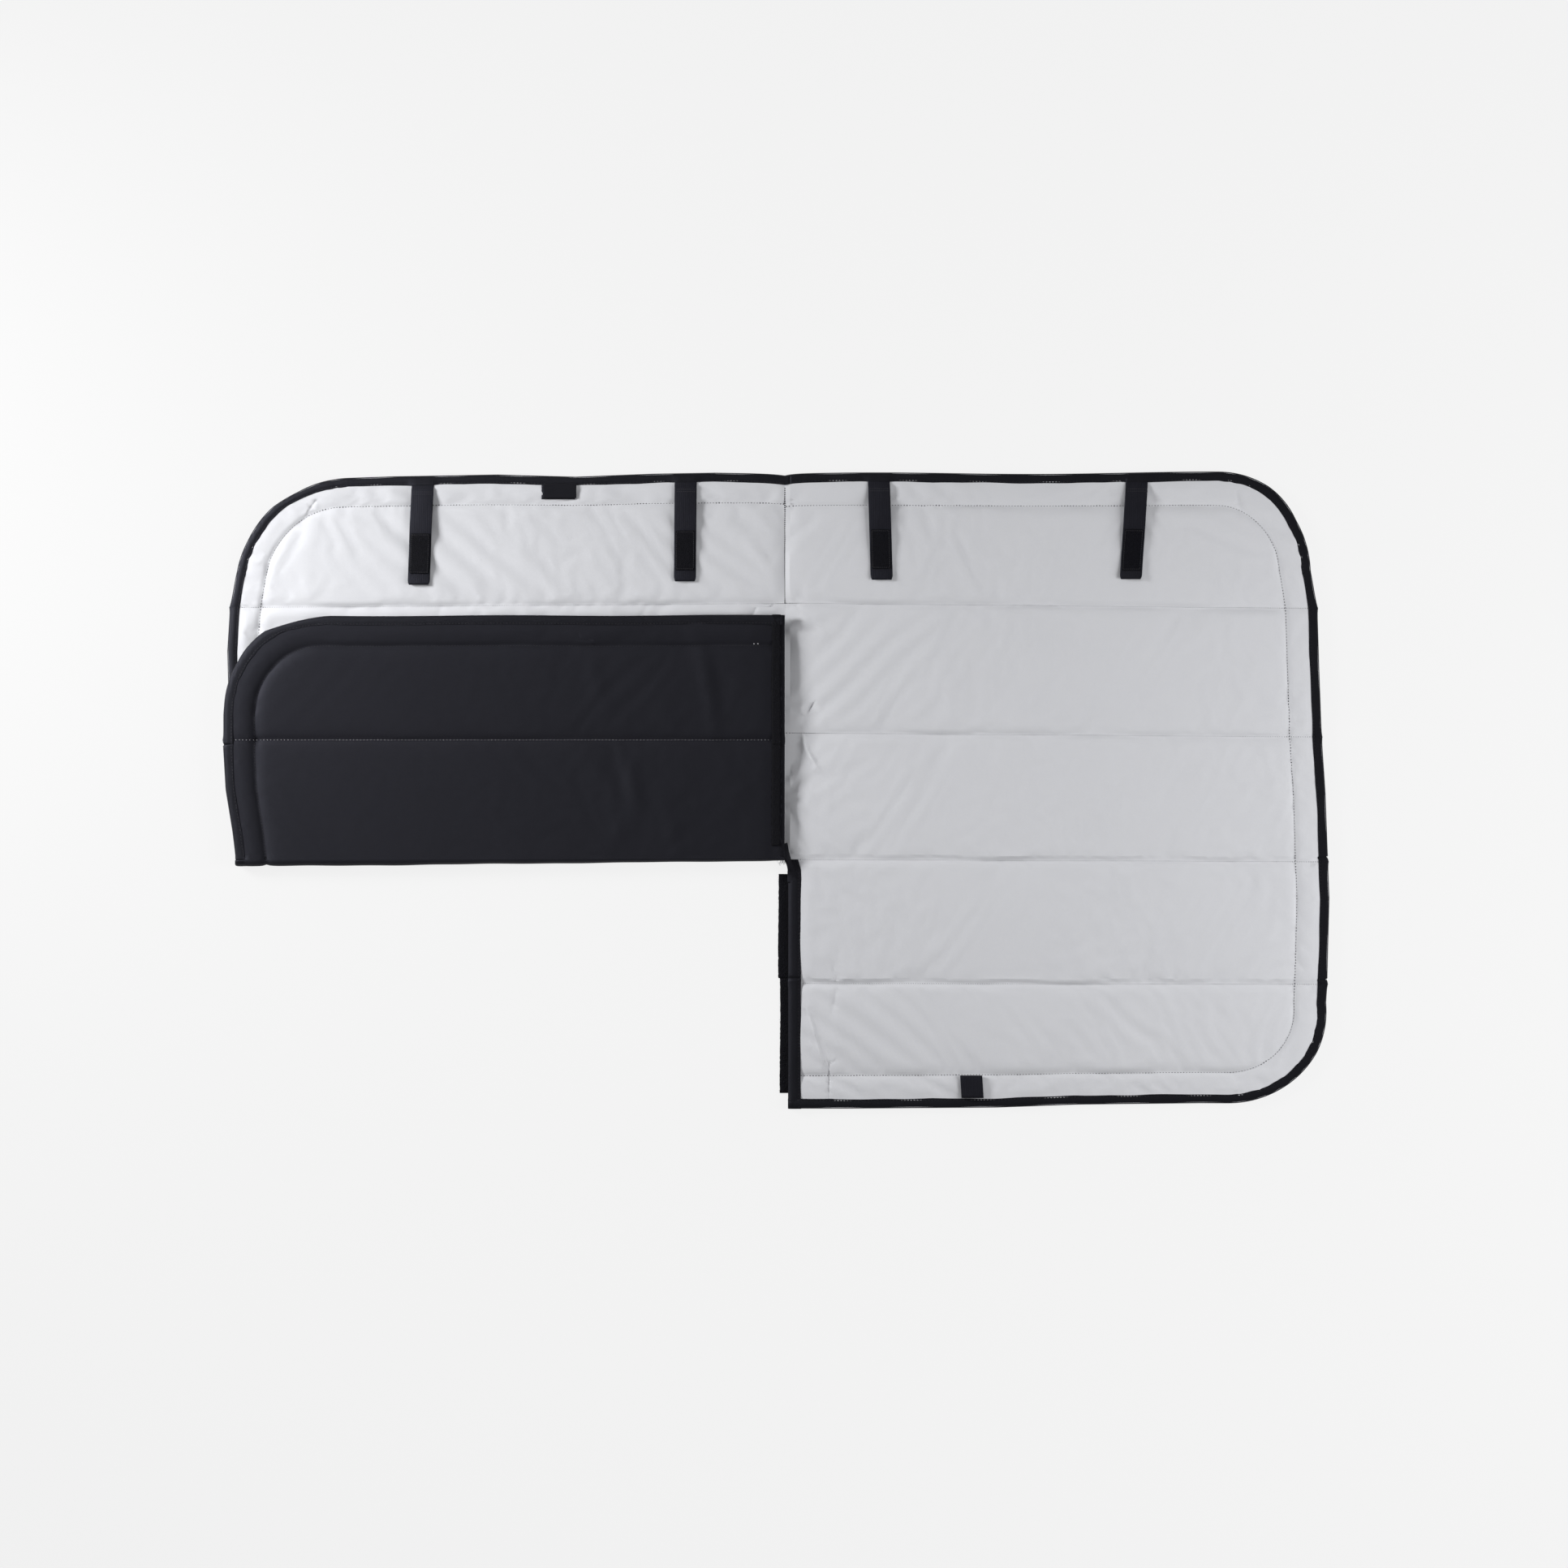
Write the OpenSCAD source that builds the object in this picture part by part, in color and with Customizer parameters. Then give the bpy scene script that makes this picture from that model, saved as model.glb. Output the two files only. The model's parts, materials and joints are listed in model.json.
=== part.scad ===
// Folding insulated window cover: two quilted leaves sewn to each other at a centre seam.
// Each leaf is a sandwich of face fabric, batting and back fabric, with binding tape round its
// free edges. Its two lower bands fold up over the bands above them, and the left leaf's lower
// part is drawn folded up. A slit parts the lower bands, and hook and loop strips close it.
// Frame: +Z is the face side, +Y points to the strap edge, and +X to the right leaf.
// The origin is the centre of the footprint, on the surface that the back lies on.

/* [Leaves] */
// Width of one leaf, from the centre seam to its outer edge
leaf_w = 616; // [560:2:700]
// Height of the cover, from the strap edge to the bottom edge
cover_h = 717; // [700:1:760]
// Height of the top band, down to the first quilt line
band_1_h = 149; // [140:1:160]
// Height of the second band
band_2_h = 144; // [138:1:150]
// Height of the third band, which ends at the main fold line
band_3_h = 144; // [138:1:150]
// Height of the middle band, the first one below the main fold line
band_4_h = 140; // [130:1:150]
// Radius of the four outer corners
corner_r = 115; // [60:1:118]
// Thickness of the padded sandwich
loft = 8; // [7:0.5:10]
// Thickness of the face fabric and of the back fabric
fabric_t = 0.6; // [0.4:0.1:0.8]
// Distance of the hem stitch row from the outer edge
hem_row = 35; // [34:1:40]

/* [Binding] */
// Width of the binding tape that shows on each side
binding_w = 12; // [9:0.5:15]
// Width of the binding on the right leaf's slit edge
slit_binding_w = 15; // [12:0.5:18]
// Thickness of the binding tape
binding_t = 0.8; // [0.6:0.1:1]

/* [Folds] */
// Free space between the layers of a closed fold
fold_gap = 3; // [2.8:0.1:5]

/* [Straps and tabs] */
// Width of the webbing of the straps and tabs
webbing_w = 25; // [20:1:30]
// Thickness of the strap webbing
webbing_t = 1.6; // [1.2:0.1:2]
// Length of a strap below the top binding
strap_len = 113; // [90:1:140]
// Places of the four straps across the cover
strap_x = [-409, -112, 106, 398];
// Length of the hook patch on a strap
patch_len = 48; // [30:1:60]
// Length of a hem tab above the bottom binding
tab_len = 24; // [16:1:30]
// Distance of each hem tab from the centre seam
tab_x = 212; // [150:1:300]

/* [Hidden] */
$fn = 96;

// Quilt and fold lines, from the strap edge down
half_h = cover_h / 2;
line_1 = half_h - band_1_h;
line_2 = line_1 - band_2_h;
line_3 = line_2 - band_3_h;
line_4 = line_3 - band_4_h;
// Height of the fold's axis over the back: half way between the two layers
hinge_z = loft + fold_gap / 2;
// Half of the gap between two pieces that turn against each other
clear = 0.2;
// How far a cutting solid runs past what it cuts
past = 1;
// A sewn row pulls the face in by a shallow groove
groove_w = 1.2;
groove_t = 0.3;

// Hook strip under the right slit edge, and the loop strip that lands on it
hook_strip_in = 5;
hook_strip_out = 10;
hook_strip_t = 1.1;
strip_end = 16;
loop_strip_from = 5;
loop_strip_w = 10;
loop_strip_t = 1;
mate_gap = 0.3;
// The left slit edge is thinner, so that both strips fit under it
step_x = loop_strip_from + loop_strip_w + 1.2;
step_z = hook_strip_t + mate_gap + loop_strip_t;

// Bar magnets, in the hem between the hem row and the binding, and their places along it
magnet = [24, 10, 3];
magnet_in = (hem_row + binding_w) / 2;
pocket_play = 0.5;
top_magnet_x = [55, 250, 455];
side_magnet_y = [0, 160];
bottom_magnet_x = [70, 270, 455];
below_line_4 = 14;

// Straps: height over the face, hook patch and corners
rest_gap = 0.3;
patch_w = 20;
patch_t = 1.2;
patch_from = 53;
strap_corner_r = 2;
tab_t = 2;
tab_loop_r = 0.2;
label = [38, 15.6, 0.4];
label_x = -256;
label_step = 2;

// How an edge of a zone ends: open against the next zone, bound, or bound with the wide tape
OPEN = 0;
BOUND = 1;
WIDE = 2;

// A zone is [x from, x to, y from, y to, the ends of these four edges, radius of the far corner,
// is that corner at the bottom, height of its underside]
function zones(side, part) =
  part == "upper" ? [
    [clear, leaf_w, line_3 + clear, half_h, OPEN, BOUND, OPEN, BOUND, corner_r, false, 0]
  ] : side == "right" ? [
    part == "middle"
      ? [clear, leaf_w, line_4 + clear, line_3 - clear, WIDE, BOUND, OPEN, OPEN, 0, false, 0]
      : [clear, leaf_w, -half_h, line_4 - clear, WIDE, BOUND, BOUND, OPEN, corner_r, true, 0]
  ] : part == "middle" ? [
    [step_x, leaf_w, line_4 + clear, line_3 - clear, OPEN, BOUND, OPEN, OPEN, 0, false, 0],
    [clear, step_x, line_4 + clear, line_3 - clear, BOUND, OPEN, OPEN, OPEN, 0, false, step_z]
  ] : [
    [step_x, leaf_w, -half_h, line_4 - clear, OPEN, BOUND, BOUND, OPEN, corner_r, true, 0],
    [clear, step_x, -half_h, line_4 - clear, BOUND, OPEN, BOUND, OPEN, 0, true, step_z]
  ];

function underside(zone) = zone[10];

// How far one edge of a zone is drawn back
function drawn(end, inset, over) =
  end == OPEN ? -over :
  end == WIDE && inset > binding_t ? inset + slit_binding_w - binding_w : inset;

// Centres of the magnets of one panel, as [x, y, angle]
function magnet_places(part) =
  part == "upper" ? concat(
    [for (x = top_magnet_x) [x, half_h - magnet_in, 0]],
    [for (y = side_magnet_y) [leaf_w - magnet_in, y, 90]]
  ) : part == "middle" ? [
    [leaf_w - magnet_in, (line_3 + line_4) / 2, 90]
  ] : concat(
    [for (x = bottom_magnet_x) [x, magnet_in - half_h, 0]],
    [[leaf_w - magnet_in, line_4 - below_line_4, 90]]
  );

// Rectangle from (x0, y0) to (x1, y1) with its far corner rounded, at the top or at the bottom
module plate(x0, x1, y0, y1, r, low) {
  if (r > 0) {
    translate([x0, y0]) square([x1 - x0 - r, y1 - y0]);
    translate([x0, low ? y0 + r : y0]) square([x1 - x0, y1 - y0 - r]);
    translate([x1 - r, low ? y0 + r : y1 - r]) intersection() {
      circle(r = r);
      translate([0, low ? -r : 0]) square(r);
    }
  } else {
    translate([x0, y0]) square([x1 - x0, y1 - y0]);
  }
}

// Flat outline of a zone: its bound edges go in by inset, its open edges go out by over
module outline(zone, inset, over) {
  plate(
    zone[0] + drawn(zone[4], inset, over),
    zone[1] - drawn(zone[5], inset, over),
    zone[2] + drawn(zone[6], inset, over),
    zone[3] - drawn(zone[7], inset, over),
    max(0, zone[8] - inset),
    zone[9]
  );
}

// Layer of a zone between two heights
module layer(zone, inset, over, z0, z1) {
  translate([0, 0, z0]) linear_extrude(z1 - z0) outline(zone, inset, over);
}

// Turns a flat lower part up over the bands above the main fold line
module folded_up() {
  translate([0, line_3, hinge_z]) rotate([180, 0, 0]) translate([0, -line_3, -hinge_z]) children();
}

// Puts a piece drawn on the flat right leaf where it belongs
module place(side, part) {
  if (side == "right") {
    children();
  } else if (part == "upper") {
    mirror([1, 0, 0]) children();
  } else {
    folded_up() mirror([1, 0, 0]) children();
  }
}

// One skin with its outer side at z = 0: the open field, a step down, and a hem under the binding
module skin(zone) {
  low = -binding_t - fabric_t;
  layer(zone, binding_w, 0, -fabric_t, 0);
  difference() {
    layer(zone, binding_w, 0, low, 0);
    layer(zone, binding_w + fabric_t, past, low - past, past);
  }
  difference() {
    layer(zone, binding_t, 0, low, low + fabric_t);
    layer(zone, binding_w + fabric_t / 2, past, low - past, past);
  }
}

// Shallow groove of the hem row, along the bound edges other than the slit
module hem_groove(zone) {
  open_slit = [for (i = [0 : len(zone) - 1]) i == 4 ? OPEN : zone[i]];
  difference() {
    layer(open_slit, hem_row, past, loft - groove_t, loft + past);
    layer(open_slit, hem_row + groove_w, past * 2, loft - groove_t - past, loft + past * 2);
  }
}

// Grooves of the two quilt lines across an upper panel
module quilt_grooves() {
  for (y = [line_1, line_2])
    translate([0, y - groove_w / 2, loft - groove_t]) cube([leaf_w, groove_w, groove_t + past]);
}

// Space that the hook strip takes under the right slit edge
module hook_strip_space(side) {
  if (side == "right")
    translate([-past, -half_h - past, -past])
      cube([hook_strip_in + past, half_h, hook_strip_t + past]);
}

// Light face fabric of one panel
module face_fabric(side, part) {
  color([0.78, 0.78, 0.81]) place(side, part) difference() {
    for (zone = zones(side, part)) translate([0, 0, loft]) skin(zone);
    hem_groove(zones(side, part)[0]);
    if (part == "upper") quilt_grooves();
  }
}

// Charcoal back fabric of one panel, which climbs the step at the left slit edge
module back_fabric(side, part) {
  color([0.17, 0.16, 0.2]) place(side, part) difference() {
    union() {
      for (zone = zones(side, part))
        translate([0, 0, underside(zone)]) mirror([0, 0, 1]) skin(zone);
      if (side == "left" && part != "upper") slit_riser(part);
    }
    if (part != "upper") hook_strip_space(side);
  }
}

// Wall of back fabric between the full thickness and the thinner slit edge
module slit_riser(part) {
  zone = zones("left", part)[0];
  y0 = zone[2] + drawn(zone[6], binding_w, 0);
  translate([step_x, y0, 0]) cube([fabric_t, zone[3] - y0, step_z + fabric_t]);
}

// Padding of one panel, with a pocket over each magnet
module batting(side, part) {
  color([0.93, 0.92, 0.88]) place(side, part) difference() {
    for (zone = zones(side, part)) {
      z0 = underside(zone) + fabric_t;
      z1 = loft - fabric_t;
      layer(zone, binding_w + fabric_t, 0, z0, z1);
      layer(zone, binding_t, 0, z0 + binding_t, z1 - binding_t);
    }
    for (p = magnet_places(part))
      translate([p[0], p[1], fabric_t]) rotate(p[2])
        translate([-magnet[0] / 2 - pocket_play, -magnet[1] / 2 - pocket_play, -past])
          cube(magnet + [2, 2, 1] * pocket_play + [0, 0, past]);
    if (side == "left" && part != "upper")
      translate([step_x - fabric_t, -half_h - past, -past])
        cube([fabric_t * 2, half_h, step_z + fabric_t + past]);
  }
}

// Binding tape folded over the free edges of one panel
module binding(side, part) {
  color([0.035, 0.035, 0.04]) place(side, part) difference() {
    for (zone = zones(side, part)) {
      z0 = underside(zone);
      difference() {
        layer(zone, 0, 0, z0, loft);
        layer(zone, binding_w, past, z0 - past, loft + past);
        layer(zone, binding_t, past, z0 + binding_t, loft - binding_t);
      }
    }
    if (part != "upper") hook_strip_space(side);
  }
}

// Bar magnets of one panel, lying on the back fabric
module magnets(side, part) {
  color([0.7, 0.7, 0.72]) place(side, part)
    for (p = magnet_places(part))
      translate([p[0], p[1], fabric_t]) rotate(p[2])
        translate([-magnet[0] / 2, -magnet[1] / 2, 0]) cube(magnet);
}

// Webbing of one strap, hanging from under the top binding
module strap_webbing(x) {
  color([0.05, 0.05, 0.06])
    translate([x, half_h - binding_w - clear, loft + rest_gap])
      linear_extrude(webbing_t) difference() {
        translate([-webbing_w / 2, -strap_len]) square([webbing_w, strap_len]);
        for (s = [-1, 1])
          translate([s * webbing_w / 2, -strap_len]) difference() {
            square(strap_corner_r * 2, center = true);
            translate([-s * strap_corner_r, strap_corner_r]) circle(r = strap_corner_r);
          }
      }
}

// Hook patch sewn on a strap, short of its tip
module hook_patch(x) {
  color([0.09, 0.09, 0.1])
    translate([x - patch_w / 2, half_h - binding_w - clear - patch_from, loft + rest_gap + webbing_t])
      translate([0, -patch_len, 0]) cube([patch_w, patch_len, patch_t]);
}

// Hem tab: webbing folded on itself and sewn in under the bottom binding
module hem_tab(side) {
  lift = side == "right" ? rest_gap : 0;
  color([0.05, 0.05, 0.06]) place(side, "bottom")
    translate([tab_x - webbing_w / 2, -half_h + binding_w + clear, loft + lift])
      rotate([90, 0, 90]) linear_extrude(webbing_w) difference() {
        union() {
          square([tab_len - tab_t / 2, tab_t]);
          translate([tab_len - tab_t / 2, tab_t / 2]) circle(d = tab_t);
        }
        translate([-past, tab_t / 2 - tab_loop_r]) square([tab_len - tab_t / 2 + past, tab_loop_r * 2]);
        translate([tab_len - tab_t / 2, tab_t / 2]) circle(r = tab_loop_r);
      }
}

// Plain folded label, sewn in under the top binding
module woven_label() {
  color([0.04, 0.04, 0.045])
    translate([label_x, half_h - binding_w - clear, loft + rest_gap]) {
      translate([-label[0] / 2, -label[1], 0]) cube(label);
      translate([-label[0] / 2, label_step - label[1], label[2]]) cube(label - [0, label_step, 0]);
    }
}

// Part of a strip that lies in one panel, from its distance to the slit, width, height and thickness
module strip(part, x0, w, z0, t) {
  y0 = part == "middle" ? line_4 + clear : strip_end - half_h;
  y1 = part == "middle" ? line_3 - strip_end : line_4 - clear;
  translate([x0, y0, z0]) cube([w, y1 - y0, t]);
}

// Hook strip that stands out from under the right slit edge
module hook_strip(part) {
  color([0.06, 0.06, 0.07]) strip(part, -hook_strip_out, hook_strip_out + hook_strip_in, 0, hook_strip_t);
}

// Loop strip on the back of the left slit edge
module loop_strip(part) {
  color([0.07, 0.07, 0.08]) place("left", part)
    strip(part, loop_strip_from, loop_strip_w, step_z - loop_strip_t, loop_strip_t);
}

// Back fabric that bends round the closed main fold of the left leaf
module fold_web() {
  color([0.17, 0.16, 0.2])
    translate([-leaf_w, line_3, hinge_z]) rotate([90, 0, 90])
      linear_extrude(leaf_w - clear) difference() {
        circle(r = hinge_z - mate_gap);
        circle(r = hinge_z - mate_gap - fabric_t);
        translate([0, -hinge_z]) square([hinge_z, 2 * hinge_z]);
      }
}

face_fabric("left", "upper");  // left_upper_face
back_fabric("left", "upper");  // left_upper_back
batting("left", "upper");  // left_upper_batting
binding("left", "upper");  // left_upper_binding
magnets("left", "upper");  // left_upper_magnets
face_fabric("left", "middle");  // left_middle_face
back_fabric("left", "middle");  // left_middle_back
batting("left", "middle");  // left_middle_batting
binding("left", "middle");  // left_middle_binding
magnets("left", "middle");  // left_middle_magnets
face_fabric("left", "bottom");  // left_bottom_face
back_fabric("left", "bottom");  // left_bottom_back
batting("left", "bottom");  // left_bottom_batting
binding("left", "bottom");  // left_bottom_binding
magnets("left", "bottom");  // left_bottom_magnets
face_fabric("right", "upper");  // right_upper_face
back_fabric("right", "upper");  // right_upper_back
batting("right", "upper");  // right_upper_batting
binding("right", "upper");  // right_upper_binding
magnets("right", "upper");  // right_upper_magnets
face_fabric("right", "middle");  // right_middle_face
back_fabric("right", "middle");  // right_middle_back
batting("right", "middle");  // right_middle_batting
binding("right", "middle");  // right_middle_binding
magnets("right", "middle");  // right_middle_magnets
face_fabric("right", "bottom");  // right_bottom_face
back_fabric("right", "bottom");  // right_bottom_back
batting("right", "bottom");  // right_bottom_batting
binding("right", "bottom");  // right_bottom_binding
magnets("right", "bottom");  // right_bottom_magnets
strap_webbing(strap_x[0]);  // strap_1_webbing
strap_webbing(strap_x[1]);  // strap_2_webbing
strap_webbing(strap_x[2]);  // strap_3_webbing
strap_webbing(strap_x[3]);  // strap_4_webbing
hook_patch(strap_x[0]);  // strap_1_hook_patch
hook_patch(strap_x[1]);  // strap_2_hook_patch
hook_patch(strap_x[2]);  // strap_3_hook_patch
hook_patch(strap_x[3]);  // strap_4_hook_patch
hem_tab("left");  // left_hem_tab
hem_tab("right");  // right_hem_tab
woven_label();
hook_strip("middle");  // right_middle_hook_strip
hook_strip("bottom");  // right_bottom_hook_strip
loop_strip("middle");  // left_middle_loop_strip
loop_strip("bottom");  // left_bottom_loop_strip
fold_web();  // left_fold_web
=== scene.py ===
import json
import math

import bmesh
import bpy
import numpy as np
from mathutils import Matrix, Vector
from mathutils.bvhtree import BVHTree
from mathutils.geometry import delaunay_2d_cdt
from mathutils.kdtree import KDTree


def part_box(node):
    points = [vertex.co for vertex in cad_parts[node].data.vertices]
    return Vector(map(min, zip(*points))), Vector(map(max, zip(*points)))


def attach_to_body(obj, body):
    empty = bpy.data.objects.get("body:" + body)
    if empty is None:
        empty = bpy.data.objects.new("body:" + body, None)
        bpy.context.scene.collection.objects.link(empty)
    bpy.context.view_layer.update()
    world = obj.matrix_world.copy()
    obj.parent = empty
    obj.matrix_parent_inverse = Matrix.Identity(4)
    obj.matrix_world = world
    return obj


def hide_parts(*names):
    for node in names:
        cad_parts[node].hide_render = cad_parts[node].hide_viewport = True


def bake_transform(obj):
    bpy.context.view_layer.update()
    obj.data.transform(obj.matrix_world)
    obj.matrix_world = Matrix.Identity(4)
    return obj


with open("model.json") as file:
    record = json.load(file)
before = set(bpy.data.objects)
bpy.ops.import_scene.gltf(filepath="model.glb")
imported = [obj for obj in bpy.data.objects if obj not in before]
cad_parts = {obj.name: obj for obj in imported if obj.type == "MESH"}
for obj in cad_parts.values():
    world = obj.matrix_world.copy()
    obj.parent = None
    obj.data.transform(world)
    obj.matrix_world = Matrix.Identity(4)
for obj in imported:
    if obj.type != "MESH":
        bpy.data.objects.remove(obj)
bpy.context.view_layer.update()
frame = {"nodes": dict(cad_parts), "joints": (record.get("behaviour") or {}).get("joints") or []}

# Everything below is worked out in millimetres, and turned into metres when a mesh is made.
MM = 0.001


def mm(value):
    return value / MM


JOINTS = {j["name"]: j for j in frame["joints"]}


def joint_at(name):
    return [mm(c) for c in JOINTS[name]["pos_m"]]


# ---- sizes from the frame
W = mm(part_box("right_upper_binding")[1].x)
H = mm(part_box("right_upper_binding")[1].y)
FOLD_Y, HINGE_Z = joint_at("left_flap_fold")[1:]
# The four quilt rows, from the top one down. The main fold is along LINE_3, the band fold along LINE_4.
LINE_4 = joint_at("right_bottom_band_fold")[1]
LINE_3 = FOLD_Y
LINE_2 = LINE_3 + 144
LINE_1 = LINE_2 + 144
LINES = (LINE_1, LINE_2, LINE_3, LINE_4)
FLAP_LINE_4 = joint_at("left_bottom_band_fold")[1]
# Widths of the edge tape and the slit's tape, the corner's radius, and the hem row's distance from the edge.
BIND = 11.0
SLIT_BIND = 15.0
CORNER = 115.0
HEM = {"right": 37.0, "left": 34.0, "flap": 34.0}
# Width of the strip by which a sheet reaches over its hinge line, and the size of a cloth triangle.
JOIN = 6.0
STEP = 6.0
# Heights of the edge tape's light and dark side as each sheet lies, and of the dark side at the flap's slit.
TAPE_Z = {"right": (5.7, 0.35), "left": (5.7, 0.35), "flap": (11.5, 17.0)}
SLIT_TAPE_Z = 15.7
# Heights of the face between its rows, its lowest point, and the outermost edges at the slit.
FACE_Z = 8.8
LOWEST_FACE_Z = 3.4
SLIT_EDGE_Z = {"right": 3.6, "flap": 14.4}

# ---- camera, stage and light
scene = bpy.context.scene
scene.view_settings.view_transform = "Standard"
scene.view_settings.look = "None"
scene.view_settings.exposure = 0.0
scene.view_settings.gamma = 1.0


def link(obj):
    scene.collection.objects.link(obj)
    return obj


def add_camera():
    data = bpy.data.cameras.new("camera")
    data.lens = 85
    data.sensor_width = 36
    data.dof.use_dof = False
    data.clip_end = 60
    obj = link(bpy.data.objects.new("camera", data))
    obj.location = (-0.001, 0.0073, 4.191)
    scene.camera = obj


def add_area(name, place, aim, size, power, spread, glossy):
    data = bpy.data.lights.new(name, "AREA")
    data.shape = "RECTANGLE"
    data.size, data.size_y = size
    data.energy = power
    data.spread = math.radians(spread)
    obj = link(bpy.data.objects.new(name, data))
    obj.location = place
    obj.rotation_euler = (Vector(aim) - Vector(place)).to_track_quat("-Z", "Y").to_euler()
    obj.visible_glossy = glossy


add_camera()


# ---- materials
class Nodes:
    """Short hand for building one material's node tree."""

    def __init__(self, name):
        self.material = bpy.data.materials.new(name)
        self.material.use_nodes = True
        self.tree = self.material.node_tree
        self.shader = self.tree.nodes["Principled BSDF"]
        self.place = self.add("ShaderNodeTexCoord").outputs["Object"]

    def add(self, kind, **settings):
        node = self.tree.nodes.new(kind)
        for key, value in settings.items():
            setattr(node, key, value)
        return node

    def put(self, socket, value):
        if isinstance(value, bpy.types.NodeSocket):
            self.tree.links.new(value, socket)
        else:
            socket.default_value = value

    def noise(self, scale, detail=2.0, roughness=0.5):
        node = self.add("ShaderNodeTexNoise")
        self.put(node.inputs["Vector"], self.place)
        node.inputs["Scale"].default_value = scale
        node.inputs["Detail"].default_value = detail
        node.inputs["Roughness"].default_value = roughness
        return node.outputs["Fac"]

    def wave(self, pitch, direction):
        """Sine bands whose pitch is given in millimetres."""
        node = self.add("ShaderNodeTexWave", wave_type="BANDS", bands_direction=direction)
        self.put(node.inputs["Vector"], self.place)
        node.inputs["Scale"].default_value = 2 * math.pi / 20 / (pitch * MM)
        return node.outputs["Fac"]

    def math(self, operation, a, b=0.0, c=0.0):
        node = self.add("ShaderNodeMath", operation=operation)
        for socket, value in zip(node.inputs, (a, b, c)):
            self.put(socket, value)
        return node.outputs[0]

    def add_up(self, a, b):
        return self.math("ADD", a, b)

    def times(self, a, b):
        return self.math("MULTIPLY", a, b)

    def spread(self, value, low, high):
        """Maps 0..1 to low..high."""
        return self.math("MULTIPLY_ADD", value, high - low, low)

    def mix(self, fac, dark, light):
        """A colour between two, each given as (r, g, b)."""
        node = self.add("ShaderNodeMix", data_type="RGBA")
        self.put(node.inputs[0], fac)
        self.put(node.inputs[6], (*dark, 1.0))
        self.put(node.inputs[7], (*light, 1.0))
        return node.outputs[2]

    def bump(self, height, distance, normal=None):
        node = self.add("ShaderNodeBump")
        self.put(node.inputs["Height"], height)
        node.inputs["Distance"].default_value = distance * MM
        node.inputs["Strength"].default_value = 1.0
        if normal is not None:
            self.put(node.inputs["Normal"], normal)
        return node.outputs["Normal"]

    def finish(self, colour, roughness, normal=None, specular=0.3, tint=(1, 1, 1)):
        shader = self.shader.inputs
        self.put(shader["Base Color"], colour)
        self.put(shader["Roughness"], roughness)
        if normal is not None:
            self.put(shader["Normal"], normal)
        shader["Specular IOR Level"].default_value = specular
        shader["Specular Tint"].default_value = (*tint, 1.0)
        return self.material


def plain_weave(name, dark, light, pitch, depth, rough, specular, tint):
    n = Nodes(name)
    warp = n.wave(pitch, "X")
    weft = n.wave(pitch, "Y")
    weave = n.times(warp, weft)
    slub = n.noise(900, 3.0, 0.7)
    cloud = n.noise(14, 3.0, 0.6)
    tone = n.add_up(n.times(slub, 0.7), n.times(cloud, 0.3))
    colour = n.mix(tone, dark, light)
    height = n.add_up(weave, n.times(slub, 0.8))
    soft = n.bump(n.noise(160, 2.0, 0.5), depth * 1.6)
    normal = n.bump(height, depth, soft)
    roughness = n.spread(cloud, rough - 0.04, rough + 0.04)
    return n.finish(colour, roughness, normal, specular, tint)


def ribbed_tape(name, dark, light, pitch, depth, rough, direction, specular, tint):
    n = Nodes(name)
    rib = n.wave(pitch, direction)
    cross = n.wave(pitch * 0.6, "Y" if direction == "X" else "X")
    fuzz = n.noise(1400, 2.0, 0.7)
    cloud = n.noise(40, 2.0, 0.6)
    colour = n.mix(n.math("MULTIPLY_ADD", rib, 0.5, n.times(cloud, 0.5)), dark, light)
    ripple = n.math("MULTIPLY_ADD", cross, 0.3, n.times(fuzz, 0.5))
    normal = n.bump(n.add_up(n.times(rib, 0.8), ripple), depth)
    return n.finish(colour, n.spread(cloud, rough - 0.05, rough + 0.05), normal, specular, tint)


def pile_tape(name, dark, light, pitch, depth, rough):
    n = Nodes(name)
    cell = n.add("ShaderNodeTexVoronoi")
    n.put(cell.inputs["Vector"], n.place)
    cell.inputs["Scale"].default_value = 1.0 / (pitch * MM)
    fuzz = n.noise(2200, 2.0, 0.8)
    colour = n.mix(n.times(cell.outputs["Distance"], fuzz), dark, light)
    height = n.add_up(cell.outputs["Distance"], n.times(fuzz, 0.6))
    return n.finish(colour, rough, n.bump(height, depth), 0.15)


def thread(name, dark, light, rough):
    n = Nodes(name)
    twist = n.noise(3000, 2.0, 0.6)
    return n.finish(n.mix(twist, dark, light), rough, n.bump(twist, 0.1), 0.3)


def metal(name):
    n = Nodes(name)
    grain = n.noise(700, 3.0, 0.7)
    n.shader.inputs["Metallic"].default_value = 1.0
    colour = n.mix(grain, (0.55, 0.55, 0.57), (0.72, 0.72, 0.74))
    return n.finish(colour, n.spread(grain, 0.25, 0.4), n.bump(grain, 0.02))


def felt(name):
    n = Nodes(name)
    fibre = n.noise(600, 4.0, 0.8)
    return n.finish(n.mix(fibre, (0.7, 0.69, 0.65), (0.85, 0.84, 0.8)), 0.95, n.bump(fibre, 0.5), 0.1)


COOL = (0.78, 0.8, 1.0)
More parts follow.
